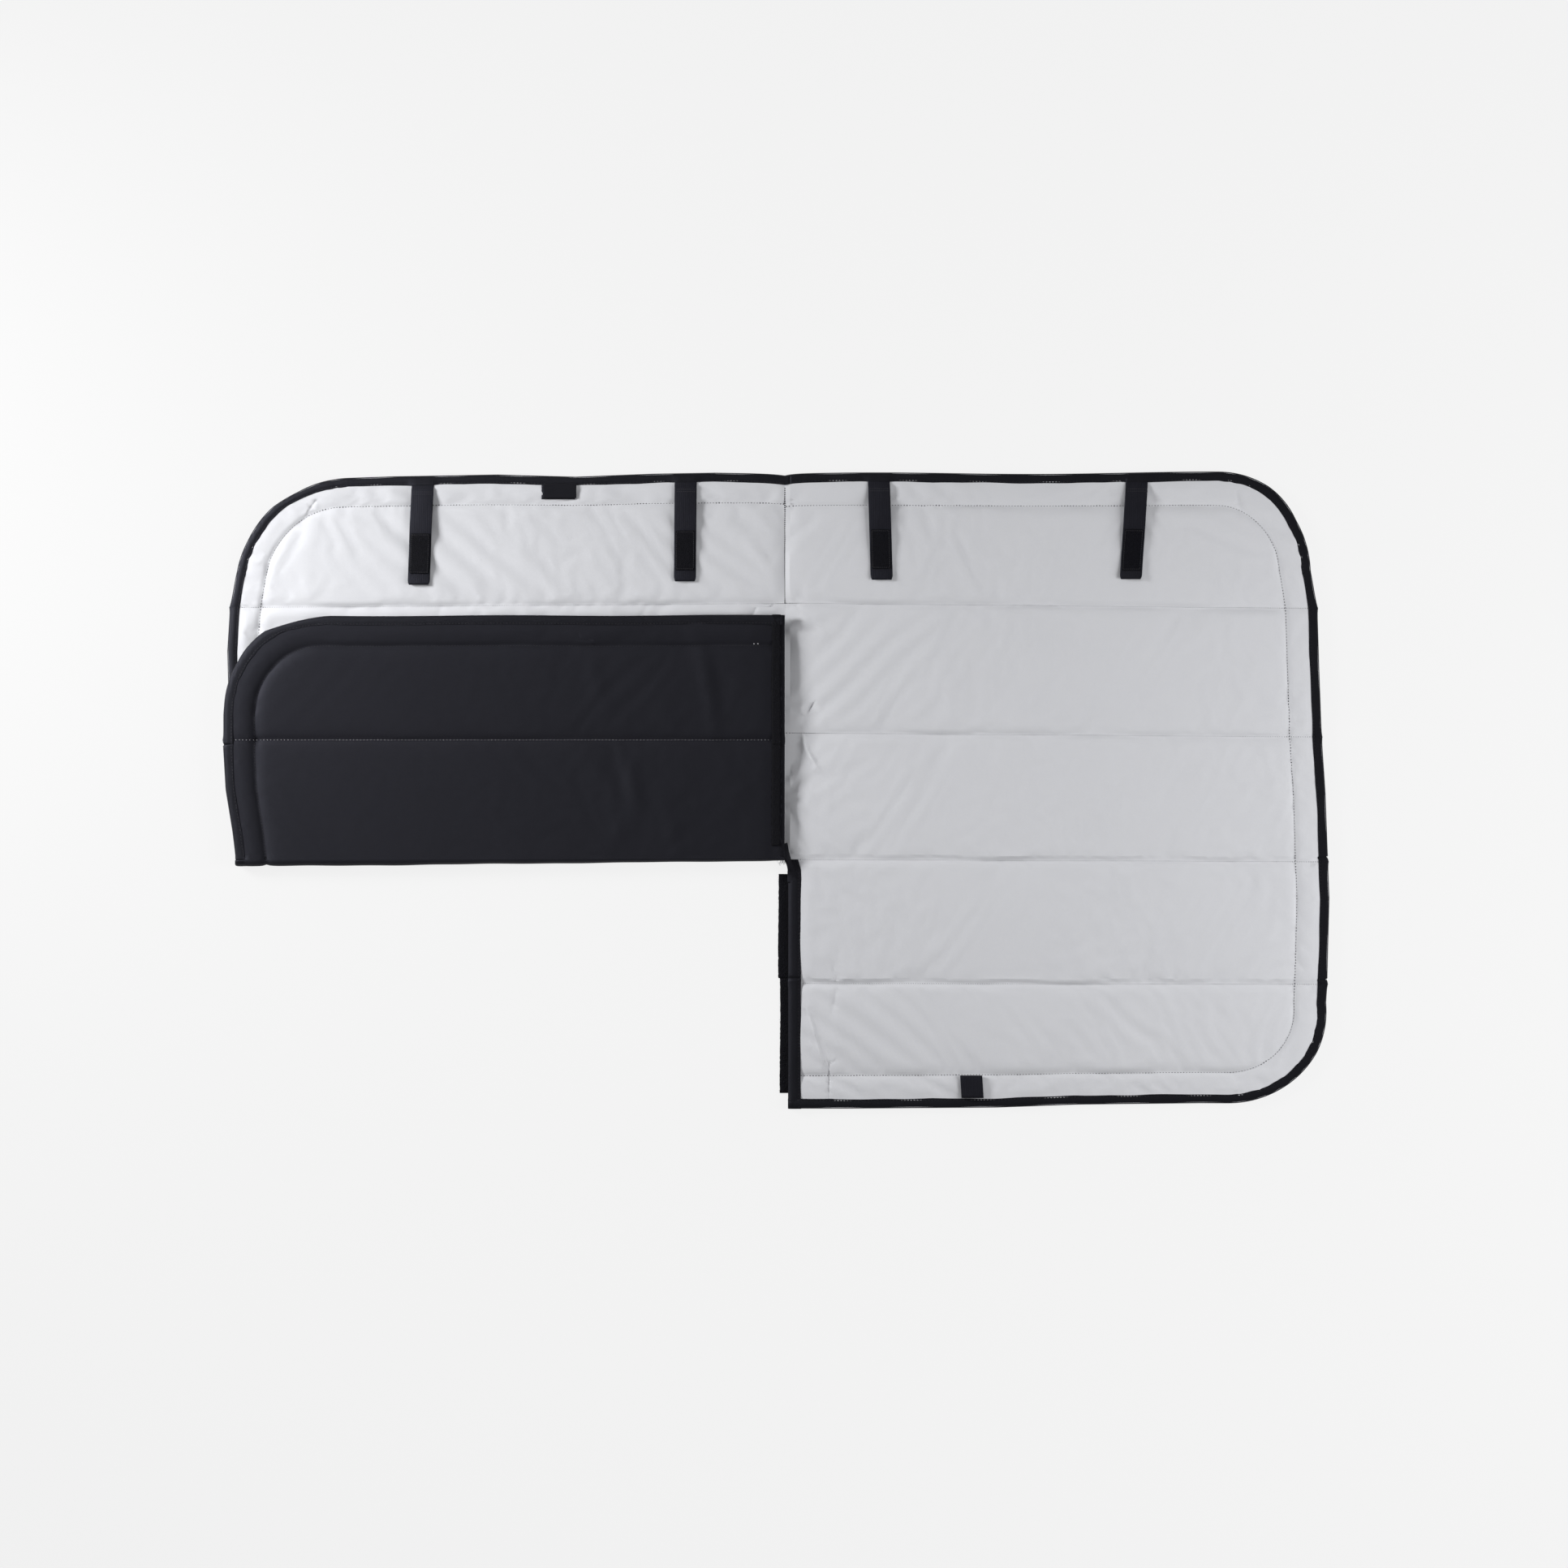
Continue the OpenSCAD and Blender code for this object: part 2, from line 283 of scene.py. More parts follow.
# Maker, dark and light colour, then the maker's own values: pitch and depth in millimetres, roughness, ...
RECIPES = {
    "face_fabric": (plain_weave, (0.53, 0.535, 0.56), (0.6, 0.605, 0.63), 0.8, 0.05, 0.7, 0.2, (1, 1, 1)),
    "back_fabric": (plain_weave, (0.0075, 0.0075, 0.0095), (0.013, 0.013, 0.0165),
                    0.7, 0.05, 0.62, 0.18, COOL),
    "batting": (felt,),
    "binding_tape": (ribbed_tape, (0.004, 0.004, 0.005), (0.009, 0.009, 0.011),
                     1.1, 0.12, 0.5, "X", 0.2, COOL),
    "webbing": (ribbed_tape, (0.005, 0.005, 0.007), (0.013, 0.013, 0.017), 1.6, 0.2, 0.5, "X", 0.2, COOL),
    "hook_tape": (pile_tape, (0.001, 0.001, 0.002), (0.009, 0.009, 0.014), 1.2, 0.6, 0.8),
    "loop_tape": (pile_tape, (0.002, 0.002, 0.003), (0.012, 0.012, 0.016), 0.9, 0.5, 0.85),
    "magnet": (metal,),
    "label": (ribbed_tape, (0.004, 0.004, 0.005), (0.01, 0.01, 0.012), 0.7, 0.06, 0.35, "Y", 0.3, COOL),
    "light_thread": (thread, (0.5, 0.5, 0.53), (0.68, 0.68, 0.71), 0.6),
    # The dark grey thread's material also colours the dots of painted shade in the needle holes of the light
    # quilt rows.
    "grey_thread": (thread, (0.02, 0.02, 0.024), (0.06, 0.06, 0.066), 0.6),
    "dark_thread": (thread, (0.004, 0.004, 0.006), (0.014, 0.014, 0.018), 0.5),
}
MAT = {name: make(name, *values) for name, (make, *values) in RECIPES.items()}


# ---- pieces
def piece(name, points, faces, material, slot=None):
    """A mesh object from points in millimetres."""
    data = bpy.data.meshes.new(name)
    data.from_pydata((np.asarray(points, float) * MM).tolist(), [], [list(map(int, f)) for f in faces])
    data.materials.append(MAT[material])
    data.shade_smooth()
    obj = link(bpy.data.objects.new(name, data))
    return obj


def outward(obj):
    """Turns the faces of a closed mesh outwards."""
    work = bmesh.new()
    work.from_mesh(obj.data)
    bmesh.ops.recalc_face_normals(work, faces=work.faces)
    work.to_mesh(obj.data)
    work.free()
    return obj


def solid(name, shape, material, body, node=None):
    """A closed piece that rides on a body, and may stand for a CAD node."""
    obj = outward(piece(name, *shape, material))
    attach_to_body(obj, body)
    if node:
        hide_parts(node)


def merged(parts):
    """Points and faces of several (points, faces) in one."""
    points, faces, start = [], [], 0
    for p, f in parts:
        p = np.asarray(p, float).reshape(-1, 3)
        points.append(p)
        faces.extend([[i + start for i in face] for face in f])
        start += len(p)
    return np.vstack(points), faces


# ---- the leaf's pattern and how it lies
def ramp(x, nodes):
    """Straight lines between a few (x, value) nodes, given from low x to high x."""
    return np.interp(x, *zip(*nodes))


def rise(x, start, reach):
    """0 before start, and 1 from reach after it."""
    return np.clip((x - start) / reach, 0, 1)


RIGHT_PULL = [(-358, 1.0), (-300, 1.0), (-240, 0.994), (LINE_4, 0.996), (-120, 1.0), (LINE_3, 0.9975),
              (0, 0.993), (LINE_2, 0.986), (140, 0.9815), (LINE_1, 0.978), (250, 0.966),
              (306, 0.968), (343, 0.979)]
LEFT_PULL = [(LINE_3, 1.008), (LINE_2, 1.02), (160, 1.024), (LINE_1, 1.019), (250, 1.007), (288, 1.0),
             (325, 0.9965), (343, 0.986)]
FLAP_PULL = [(FOLD_Y, 1.0055), (-45, 1.012), (4, 1.0245), (54, 1.029), (FLAP_LINE_4, 1.0285), (100, 1.0285),
             (150, 1.034), (184, 1.044), (199, 1.0145)]


def warp_right(u, v):
    """Where a point of the right leaf's pattern lies. u runs from the seam outwards, v upwards."""
    seam = ramp(v, [(-H, -1.5), (LINE_4, 0.3), (LINE_3, 0.5), (LINE_2, -0.5), (LINE_1, 2.3), (H, 0)])
    edge = ramp(v, [(-H, 4.0), (LINE_4, -0.7), (LINE_3, -2.2), (LINE_2, -5.0), (LINE_1, -3.5), (H, 1.5)])
    low = rise(-v, 300, 50) * ramp(u, [(0, 0), (70, -0.6), (240, -1.0), (330, 1.5), (470, 1.8), (600, 0)])
    high = rise(v, 300, 50) * (1.1 * np.sin(u / 62.0) - 2.2 * np.exp(-u / 9.0))
    slit = 3.4 * rise(-v, -LINE_3, 12) * np.clip(1 - u / 120, 0, 1)
    return u * ramp(v, RIGHT_PULL) + slit, v + seam + (edge - seam) * rise(u, 0, 600) + low + high


def warp_left(u, v):
    seam = ramp(v, [(LINE_3, 2.0), (LINE_2, 0.5), (LINE_1, 2.0), (H, 0)])
    edge = ramp(v, [(LINE_3, 0.0), (LINE_2, -2.0), (LINE_1, -2.5), (H, -5.5)])
    top = [(0, 0), (80, 1.8), (150, 1.3), (240, -1.3), (330, 2.0), (450, 1.0), (520, -0.7), (600, 0)]
    high = rise(v, 300, 50) * ramp(u, top)
    high -= rise(v, 300, 50) * 2.2 * np.exp(-u / 16.0)
    return -u * ramp(v, LEFT_PULL), v + seam + (edge - seam) * rise(u, 0, 600) + high


def warp_flap(u, v):
    """The left leaf's lower part, turned up over the bands above it."""
    y = 2 * FOLD_Y - v
    share = rise(u, 0, 600)
    drop = -4.5 * rise(y, FOLD_Y, 140) + 2.0 * (1 - share) * np.clip(1 - (y - FOLD_Y) / 100, 0, 1)
    slit = 1.0 * rise(y, 150, 50) * (1 - share)
    return -u * ramp(y, FLAP_PULL), y + drop + slit + 0.5 * np.sin(u / 40.0) * rise(y, 100, 100)


WARP = {"right": warp_right, "left": warp_left, "flap": warp_flap}


# Folds that stay in the fabric: a path in u and the laid height y, how far it stands up, and how wide it is.
CREASES = {
    "right": [
        ([(34, 101), (27, 90), (22, 79), (20, 66)], -3.4, 2.2),
        ([(20, 65), (24, 49), (30, 37), (38, 25)], 3.0, 2.2),
        ([(33, 200), (39, 187), (47, 168)], 1.1, 3), ([(20, 205), (23, 190)], 0.8, 3),
        ([(7, 212), (13, 207), (19, 203)], -1.0, 2.5), ([(8, 330), (14, 290), (13, 250), (10, 218)], 0.8, 12),
        ([(262, 70), (290, 110), (306, 176)], 1.0, 9), ([(234, 82), (262, 120), (274, 190)], -0.9, 9),
        ([(200, 100), (170, 180)], 0.6, 11), ([(160, 75), (140, 140)], 0.5, 9),
        ([(196, 62), (170, 20), (140, -20)], -0.9, 9), ([(400, 60), (360, 20), (330, -30)], -0.9, 10),
        ([(59, -216), (50, -195)], -1.2, 2.6), ([(63, -216), (73, -202)], 1.1, 3.5),
        ([(69, -174), (79, -196)], 0.7, 3.5),
        ([(57, -222), (55, -237), (52, -253)], -1.2, 2.4), ([(57, -250), (59, -302)], 0.9, 8),
        ([(22, -245), (29, -267), (42, -312)], 2.0, 2.0), ([(16, -221), (33, -246)], 0.8, 4),
        ([(43, -301), (48, -308), (54, -307), (57, -300)], -0.9, 2.2),
        ([(47.5, -305), (47.5, -347)], -2.0, 1.8),
        ([(27, -88), (35, -116)], 0.9, 3.5), ([(13, -83), (21, -101)], 0.9, 3.5),
        ([(46, -161), (53, -187)], 0.6, 6),
        ([(521, 338), (531, 316)], -1.3, 2.2), ([(527, 336), (537, 318)], 0.8, 3),
    ],
    "left": [
        ([(138, 207), (147, 197)], 0.9, 3), ([(121, 207), (129, 198)], 0.9, 3),
        ([(112, 206), (117, 199)], 0.8, 3),
        ([(533, 334), (543, 314)], -1.2, 2.2), ([(41, 330), (43, 312)], 0.7, 4),
        ([(26, 228), (22, 214)], 0.8, 4),
        ([(31, 206), (36, 196)], -1.0, 2.2), ([(8, 206), (20, 205), (34, 204)], -0.5, 2.8),
        ([(47, 205), (54, 192)], 0.8, 4), ([(300, 320), (290, 250)], 0.6, 14),
        ([(200, 240), (215, 300)], 0.6, 14),
    ],
    "flap": [
        ([(96, 184), (90, 152), (80, 103), (78, 67)], 1.7, 7), ([(72, 150), (69, 96)], -0.8, 9),
        ([(179, 53), (168, 6), (158, -24)], 1.5, 9), ([(190, 50), (182, 5)], -0.8, 8),
        ([(213, 156), (199, 100)], 0.9, 9), ([(227, 51), (203, 20), (176, -20)], 0.8, 10),
        ([(133, -4), (127, -35), (121, -69)], 0.9, 8), ([(197, -67), (172, -24)], 0.9, 10),
        ([(31, 20), (70, -30)], 0.6, 10), ([(138, 110), (122, 70)], 0.6, 10),
        ([(223, 183), (222, 176), (207, 172)], -0.7, 2.0), ([(38, 186), (34, 170)], 0.6, 4),
    ],
}


def unfolded(side, y):
    """The leaf's own v for a height y as it lies: the flap is turned up over the main fold."""
    return 2 * FOLD_Y - y if side == "flap" else y


def crease_height(side, u, v):
    """How far the lasting folds lift or sink the fabric."""
    y = unfolded(side, v)
    total = np.zeros(len(u))
    for path, lift, reach in CREASES[side]:
        near, where = np.full(len(u), 1e3), np.zeros(len(u))
        for k, (a, b) in enumerate(zip(path, path[1:])):
            du, dy = b[0] - a[0], b[1] - a[1]
            along = np.clip(((u - a[0]) * du + (y - a[1]) * dy) / (du * du + dy * dy), 0, 1)
            gap = np.hypot(u - a[0] - along * du, y - a[1] - along * dy)
            where = np.where(gap < near, (k + along) / (len(path) - 1), where)
            near = np.minimum(near, gap)
        total += lift * np.exp(-(near / reach) ** 2) * np.sin(math.pi * (0.1 + 0.8 * where))
    return total


def edge_distance(u, v):
    """Distance from the leaf's outer edge, which is rounded at its two far corners."""
    cu, cv = W - CORNER, H - CORNER
    flat = np.minimum(W - u, H - np.abs(v))
    return np.where((u > cu) & (np.abs(v) > cv), CORNER - np.hypot(u - cu, np.abs(v) - cv), flat)


def outline(inset, step):
    """The leaf's free edge, from the seam's top end round to the slit's low end, as rows of u, v, nu, nv."""
    right, top, r = W - inset, H - inset, CORNER - inset
    rows = []

    def run(a, b, normal):
        n = max(1, round(math.dist(a, b) / step))
        rows.extend((a[0] + (b[0] - a[0]) * k / n, a[1] + (b[1] - a[1]) * k / n, *normal) for k in range(n))

    def turn(cv, a0, a1):
        n = max(1, round(r * abs(a1 - a0) / step))
        for k in range(n):
            a = a0 + (a1 - a0) * k / n
            rows.append((W - CORNER + r * math.cos(a), cv + r * math.sin(a), math.cos(a), math.sin(a)))

    run((0, top), (W - CORNER, top), (0, 1))
    turn(H - CORNER, math.pi / 2, 0)
    run((right, H - CORNER), (right, CORNER - H), (1, 0))
    turn(CORNER - H, 0, -math.pi / 2)
    run((W - CORNER, -top), (0, -top), (0, -1))
    rows.append((0, -top, 0, -1))
    return np.array(rows)


def clip_rows(rows, low, high):
    """The part of a path whose v is between low and high, ending exactly there."""
    cut_low, cut_high = low > 1 - H, high < H - 1
    above = rows[:, 1] > (low + 0.4 if cut_low else low - 1)
    below = rows[:, 1] < (high - 0.4 if cut_high else high + 1)
    parts = [rows[above & below]]
    side = rows[np.abs(rows[:, 2]) > 0.99]
    for v, cut in ((high, cut_high), (low, cut_low)):
        if cut and len(side) and side[:, 1].min() < v < side[:, 1].max():
            end = side[:1].copy()
            end[0, 1] = v
            parts.insert(0 if v == high else len(parts), end)
    return np.vstack(parts)


def resample(path, pitch):
    """Points at an even pitch along a path, and its direction there."""
    path = np.asarray(path, float)
    length = np.concatenate([[0], np.cumsum(np.linalg.norm(np.diff(path, axis=0), axis=1))])
    if length[-1] < pitch:
        return np.zeros((0, 2)), np.zeros((0, 2))
    at = np.arange(pitch * 0.5, length[-1], pitch)
    points, ahead, behind = (np.column_stack([np.interp(at + off, length, path[:, k]) for k in (0, 1)])
                             for off in (0, 0.5, -0.5))
    way = ahead - behind
    return points, way / np.maximum(np.linalg.norm(way, axis=1), 1e-9)[:, None]


def triangulate(low, high, side, step):
    """Cuts one sheet of a leaf between two heights into triangles along its sewn rows."""
    hem = HEM[side]
    edge = clip_rows(outline(1.5, step), low, high)
    n = max(2, round((high - low) / step))
    v_low, v_high = edge[-1, 1], edge[0, 1]
    seam = [(0.0, v_low + (v_high - v_low) * k / n) for k in range(n + 1)]
    border = [(p[0], p[1]) for p in edge]
    if border[0][0] > 1:
        span = round(border[0][0] / step)
        border = [(border[0][0] * k / span, border[0][1]) for k in range(1, span)] + border
    if border[-1][0] > 1:
        span = round(border[-1][0] / step)
        border += [(border[-1][0] * (1 - k / span), border[-1][1]) for k in range(1, span)]
    first, last = int(border[0][0] < 1), len(border) - int(border[-1][0] < 1)
    ring = border[first:last] + seam
    points, edges = list(ring), [(i, (i + 1) % len(ring)) for i in range(len(ring))]

    def row(path):
        start = len(points)
        points.extend((float(p[0]), float(p[1])) for p in path)
        edges.extend((start + i, start + i + 1) for i in range(len(path) - 1))

    for inset in (hem + 2, hem, hem - 2, BIND, BIND + 5.5, hem - 6.5):
        row(clip_rows(outline(inset, step), low, high)[:, :2])
    for path, _, reach in CREASES[side] if step < 12 else ():
        if reach < 3:
            middles, ways = resample([(p[0], unfolded(side, p[1])) for p in path], 3.0)
            for off in (-1.3, -0.6, 0, 0.6, 1.3):
                row(middles + np.column_stack([-ways[:, 1], ways[:, 0]]) * (off * reach))
    for line in LINES:
        for off in (-2.5, 0, 2.5) if line in (LINE_1, LINE_2) else (-JOIN, -2.5, 0, 2.5, JOIN):
            if low + 1 < line + off < high - 1:
                row([(x, line + off) for x in np.arange(0, W - 1.5, step)])
    if side == "right":
        down = np.arange(low, high + 0.1, step)
        row([(JOIN, y) for y in down if low < y < high])
        row([(SLIT_BIND, y) for y in down if low < y < min(high, LINE_3)])

    grid = []
    for j, y in enumerate(np.arange(low + step * 0.8, high - step * 0.4, step * 0.866)):
        grid += [(x, y) for x in np.arange(step * (0.5 if j % 2 else 1.0), W, step)]
    grid = np.array(grid)
    grid = grid[edge_distance(grid[:, 0], grid[:, 1]) > 4]
    tree = KDTree(len(points))
    for i, p in enumerate(points):
        tree.insert((p[0], p[1], 0), i)
    tree.balance()
    points += [tuple(p) for p in grid if tree.find((p[0], p[1], 0))[2] > step * 0.55]
    found = delaunay_2d_cdt([Vector(p) for p in points], edges, [list(range(len(ring)))], 1, 1e-4)
    return np.array([(p.x, p.y) for p in found[0]]), np.array([list(f) for f in found[2]])


def hump(d, reach):
    return np.exp(-np.abs(d) / reach)


def row_depths(u, v, side):
    """Distances from the edge, the nearest quilt row, the hem row and the centre seam."""
    ed = edge_distance(u, v)
    lines = {"right": LINES, "left": LINES[:2], "flap": LINES[3:]}[side]
    quilt = np.min([np.abs(v - line) for line in lines], axis=0)
    return ed, quilt, np.abs(ed - HEM[side]), np.where(v > LINE_3, u, 1e3)


def face_height(u, v, side):
    """Resting height of the face fabric over the back, before its wrinkles."""
    ed, quilt, hem, seam = row_depths(u, v, side)
    field = FACE_Z - 3.0 * hump(quilt, 3.5) - 1.8 * hump(quilt, 28) - 2.6 * hump(hem, 3) - 1.4 * hump(hem, 20)
    field = field - 1.6 * hump(seam, 4) - 1.0 * hump(seam, 25)
    bulge = np.exp(-((v - 75) / 80) ** 2)
    field = field - (2.2 + 2.4 * bulge) * np.exp(-(np.minimum(seam, 200) / (8 + 30 * bulge)) ** 2)
    border = 7.0 - 2.2 * hump(hem, 3) - 0.9 * hump(ed - BIND, 4) - 1.6 * hump(quilt, 4)
    edge = TAPE_Z[side][0] - 1.0 * hump(quilt, 4) - 1.8 * hump(seam, 4)
    if side == "right":
        slit = np.maximum(np.where(v < LINE_3, u - SLIT_BIND, 1e3), 0)
        field = field - 2.4 * hump(slit, 9)
        border = border - 1.3 * hump(slit, 7)
    border = border - 2.2 * hump(seam, 4)
    z = np.maximum(np.where(ed > HEM[side], field, border), 3.2)
    z = np.where(ed < BIND, edge, z)
    if side == "right":
        z = np.where((u < SLIT_BIND) & (v < LINE_3), np.minimum(edge, z), z)
        z = np.where((u < 1) & (v < LINE_3 - 1), SLIT_EDGE_Z[side], z)
    return z


def flap_height(u, v):
    """Resting height of the folded flap's dark side."""
    ed, quilt, hem, _ = row_depths(u, v, "flap")
    slit = np.maximum(u - 17, 0)
    field = 18.9 - 2.6 * hump(quilt, 4) - 1.5 * hump(quilt, 28) - 2.9 * hump(hem, 4) - 1.3 * hump(hem, 20)
    field = field - 1.3 * hump(slit, 8)
    border = 18.2 - 3.3 * hump(hem, 4) - 1.0 * hump(ed - BIND, 3) - 1.6 * hump(quilt, 4) - 1.2 * hump(slit, 6)
    z = np.where(ed > HEM["flap"], field, border)
    z = np.where(ed < BIND, TAPE_Z["flap"][1] - 0.8 * hump(quilt, 4), z)
    # The hem tab that is trapped under the flap shows through.
    z = z + 0.7 * np.clip(2 - np.abs(u - 215) / 7, 0, 1) * np.clip(2 - np.abs(v + H - 26) / 6, 0, 1)
    z = np.where(u < 16.5, np.minimum(z, 16.3), z)
    return np.where((u < 1) & (v < LINE_3 - 1), SLIT_EDGE_Z["flap"], z)


# ---- cloth
def shear_field(side, x, y):
    """How far the rows were shifted along themselves when they were sewn, which makes the fabric pull."""
    if side == "right":
        shift = ramp(y, [(-H, -0.5), (LINE_4, 0.7), (LINE_3, 0.4), (LINE_2, 0.0), (LINE_1, -1.0),
                         (H - 37, -0.8)])
        turn = np.sin(x / 95.0 + 0.6) + 0.5 * np.sin(x / 41.0 + y / 60.0)
    elif side == "left":
        shift = ramp(y, [(LINE_2, 0.8), (LINE_1, -0.5), (H - 34, 0.4)])
        turn = np.sin(x / 80.0) + 0.4 * np.sin(x / 37.0 + 1.0)
    else:
        shift = ramp(y, [(FOLD_Y, -0.3), (57, 0.5), (160, -0.4)])
        shift = shift * ramp(x, [(-620, 0.4), (-330, 0.5), (-230, 1.0), (0, 0.9)])
        turn = np.sin(x / 85.0 + 1.1) + 0.6 * np.sin(x / 33.0)
    dy = 0.5 * np.sin(x / 47.0 + y / 120.0) + 0.3 * np.sin(x / 19.0 + y / 35.0)
    dy += 0.6 * np.exp(-np.abs(x) / 35) * np.sin(y / 15.0) * (y > FOLD_Y) * (side != "flap")
    return shift * (0.9 + 0.5 * turn), dy


# How much longer than its place each sheet is cut, the frames it settles for, and the pull on its free
# and sewn points.
SLACK = 0.006
FRAMES = 30
FREE, SEWN = 0.35, 1.0


def simulate(name, tri, target, pinned, side):
    """Lets the fabric settle between its sewn rows with Blender's Cloth, and returns the settled points."""
    dx, dy = shear_field(side, target[:, 0], target[:, 1])
    rough = np.random.default_rng(len(tri)).normal(0, 0.1, len(target))
    rest = target + np.column_stack([dx, dy, rough])
    data = bpy.data.meshes.new(name)
    data.from_pydata((rest * MM).tolist(), [], tri.tolist())
    obj = link(bpy.data.objects.new(name, data))
    group = obj.vertex_groups.new(name="pins")
    group.add(np.flatnonzero(~pinned).tolist(), FREE, "REPLACE")
    group.add(np.flatnonzero(pinned).tolist(), SEWN, "REPLACE")
    obj.shape_key_add(name="Basis")
    key = obj.shape_key_add(name="laid")
    key.data.foreach_set("co", (target * MM).ravel().astype(np.float32))
    for frame_number, value in ((1, 0.0), (10, 1.0)):
        key.value = value
        key.keyframe_insert("value", frame=frame_number)
    cloth = obj.modifiers.new("cloth", "CLOTH")
    settings = dict(vertex_group_mass="pins", shrink_min=-SLACK, quality=5, mass=0.02, pin_stiffness=0.3,
                    tension_stiffness=25, compression_stiffness=25, shear_stiffness=10,
                    bending_stiffness=0.02)
    for setting, value in settings.items():
        setattr(cloth.settings, setting, value)
    cloth.settings.effector_weights.gravity = 0
    cloth.collision_settings.use_collision = False
    cloth.collision_settings.use_self_collision = False
    cloth.point_cache.frame_start = 1
    cloth.point_cache.frame_end = FRAMES
    for number in range(1, FRAMES + 1):
        scene.frame_set(number)
    shown = obj.evaluated_get(bpy.context.evaluated_depsgraph_get())
    out = np.zeros(len(rest) * 3, np.float32)
    shown.data.vertices.foreach_get("co", out)
    bpy.data.objects.remove(obj)
    bpy.data.meshes.remove(data)
    scene.frame_set(1)
    return out.reshape(-1, 3).astype(float) / MM


# Share of the simulated rise that each sheet keeps: the flap lies smoother than the light side.
CALM = {"right": 0.85, "left": 0.9, "flap": 0.32}
# The furthest that the simulation may move a point, sideways and up or down.
MOST_SIDEWAYS, MOST_RISE = 4.0, 3.0


class Sheet:
    """One simulated sheet of fabric: its pattern uv, its triangles, and the points where it lies."""

    def __init__(self, side, low, high, top):
        self.side = side
        self.uv, self.tri = triangulate(low, high, side, STEP)
        u, v = self.uv.T
        slit_edge = (u < 1) & (v < LINE_3 - 1)
        x, y = WARP[side](np.where(slit_edge, 2.0, u), v)
        z = flap_height(u, v) if side == "flap" else face_height(u, v, side)
        laid = np.column_stack([x, y, z])
        ed, quilt, hem, seam = row_depths(u, v, side)
        pinned = (quilt < 0.3) | (hem < 0.3) | (ed < BIND + 0.3) | (seam < 0.3)
        pinned |= (np.abs(v - low) < 0.5) | (np.abs(v - high) < 0.5)
        if side != "left":
            pinned |= (u < SLIT_BIND + 2) & (v < LINE_3)
        a, b, c = (laid[self.tri[:, k]] for k in range(3))
        upward = np.cross(b - a, c - a)[:, 2] > 0
        self.tri = np.where(upward[:, None], self.tri, self.tri[:, ::-1])
        self.points = laid.copy()
        move = simulate("settling_" + side, self.tri, laid, pinned, side) - laid
        move[:, :2] = np.clip(move[:, :2], -MOST_SIDEWAYS, MOST_SIDEWAYS)
        far = ramp(u, [(0, 1.0), (240, 1.0), (360, 0.35), (W, 0.35)]) if side == "flap" else 1.0
        move[:, 2] = np.clip(move[:, 2] * (CALM[side] * far), -MOST_RISE, MOST_RISE)
        if side == "left":
            move *= np.clip(u / 16, 0.15, 1)[:, None]
        self.points = laid + move
        z = self.points[:, 2]
        over = z - (top - 1.0)
        z = np.where(over > 0, top - 1.0 + np.tanh(over), z) + crease_height(side, u, v) * (ed > BIND)
        self.points[:, 2] = z if side == "flap" else np.maximum(z, LOWEST_FACE_Z)

    def faces(self, keep):
        """Triangles whose middle passes keep(u, v)."""
        middle = self.uv[self.tri].mean(1)
        return self.tri[keep(middle[:, 0], middle[:, 1])]

    def part(self, keep, points, flip):
        """The points and triangles of a part of the sheet, turned over where flip is true."""
        tri = self.faces(keep)
        used, new = np.unique(tri, return_inverse=True)
        tri = new.reshape(tri.shape)
        return points[used], tri[:, ::-1] if flip else tri


RIGHT = Sheet("right", -H, H, 9.8)
LEFT = Sheet("left", LINE_3, H, 9.4)
FLAP = Sheet("flap", -H, LINE_3, 19.8)
SHEETS = {"right": RIGHT, "left": LEFT, "flap": FLAP}


def weld(parts):
    """Joins parts and merges the points they share."""
    points, faces = merged(parts)
    _, first, where = np.unique(np.round(points, 2), axis=0, return_index=True, return_inverse=True)
    where = where.reshape(-1)
    out = [[int(where[i]) for i in f] for f in faces]
    return points[first], [f for f in out if len(set(f)) == len(f)]


# ---- the other side of each sheet
def rear_points(sheet):
    """The fabric on the far side of the padding, which shows the same rows and softer wrinkles."""
    u, v = sheet.uv.T
    in_hem = edge_distance(u, v) < HEM[sheet.side] - 1
    out = sheet.points.copy()
    if sheet.side == "flap":
        out[:, 2] = 10.9 + np.clip(0.35 * (18.6 - out[:, 2]), -0.3, 1.2) * np.where(in_hem, 0.4, 1.0)
    else:
        out[:, 2] = 0.25 + np.clip(0.42 * (FACE_Z - out[:, 2]), 0, 2.2) * np.where(in_hem, 0.1, 1.0)
    if sheet.side != "left":
        edge = (u < 1) & (v < LINE_3 - 1)
        out[edge, 2] = sheet.points[edge, 2] - 1.4
    return out


# Where each sheet lies: its front (the side that is seen as it lies) and its rear.
LAID = {}
for side, sheet in SHEETS.items():
    LAID[side, True] = sheet.points
    LAID[side, False] = rear_points(sheet)
TREES = {key: BVHTree.FromPolygons(points.tolist(), SHEETS[key[0]].tri.tolist())
         for key, points in LAID.items()}


def surface_z(side, front, x, y, default):
    """Height of a sheet's front or rear at (x, y), seen from outside."""
    start, way = ((x, y, 60), (0, 0, -1)) if front else ((x, y, -20), (0, 0, 1))
    hit = TREES[side, front].ray_cast(Vector(start), Vector(way))[0]
    return default if hit is None else hit.z


# ---- binding
STRAP_X = [mm(sum(b.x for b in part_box(f"strap_{i}_webbing"))) / 2 for i in (1, 2, 3, 4)]
PROFILE = [(1.0, -0.6), (1.0, 0.4), (0.93, 0.62), (0.84, 0.34), (0.74, 0.68), (0.5, 0.85), (0.2, 0.45),
           (0.08, -0.5), (0.01, -1.6)]


def over_strap(x):
    """1 where a strap or the label is sewn in under the top binding."""
    near = [abs(x - s) - 12.5 for s in STRAP_X]
    return max(0.0, min(1.0, 1 - min(near) / 3))


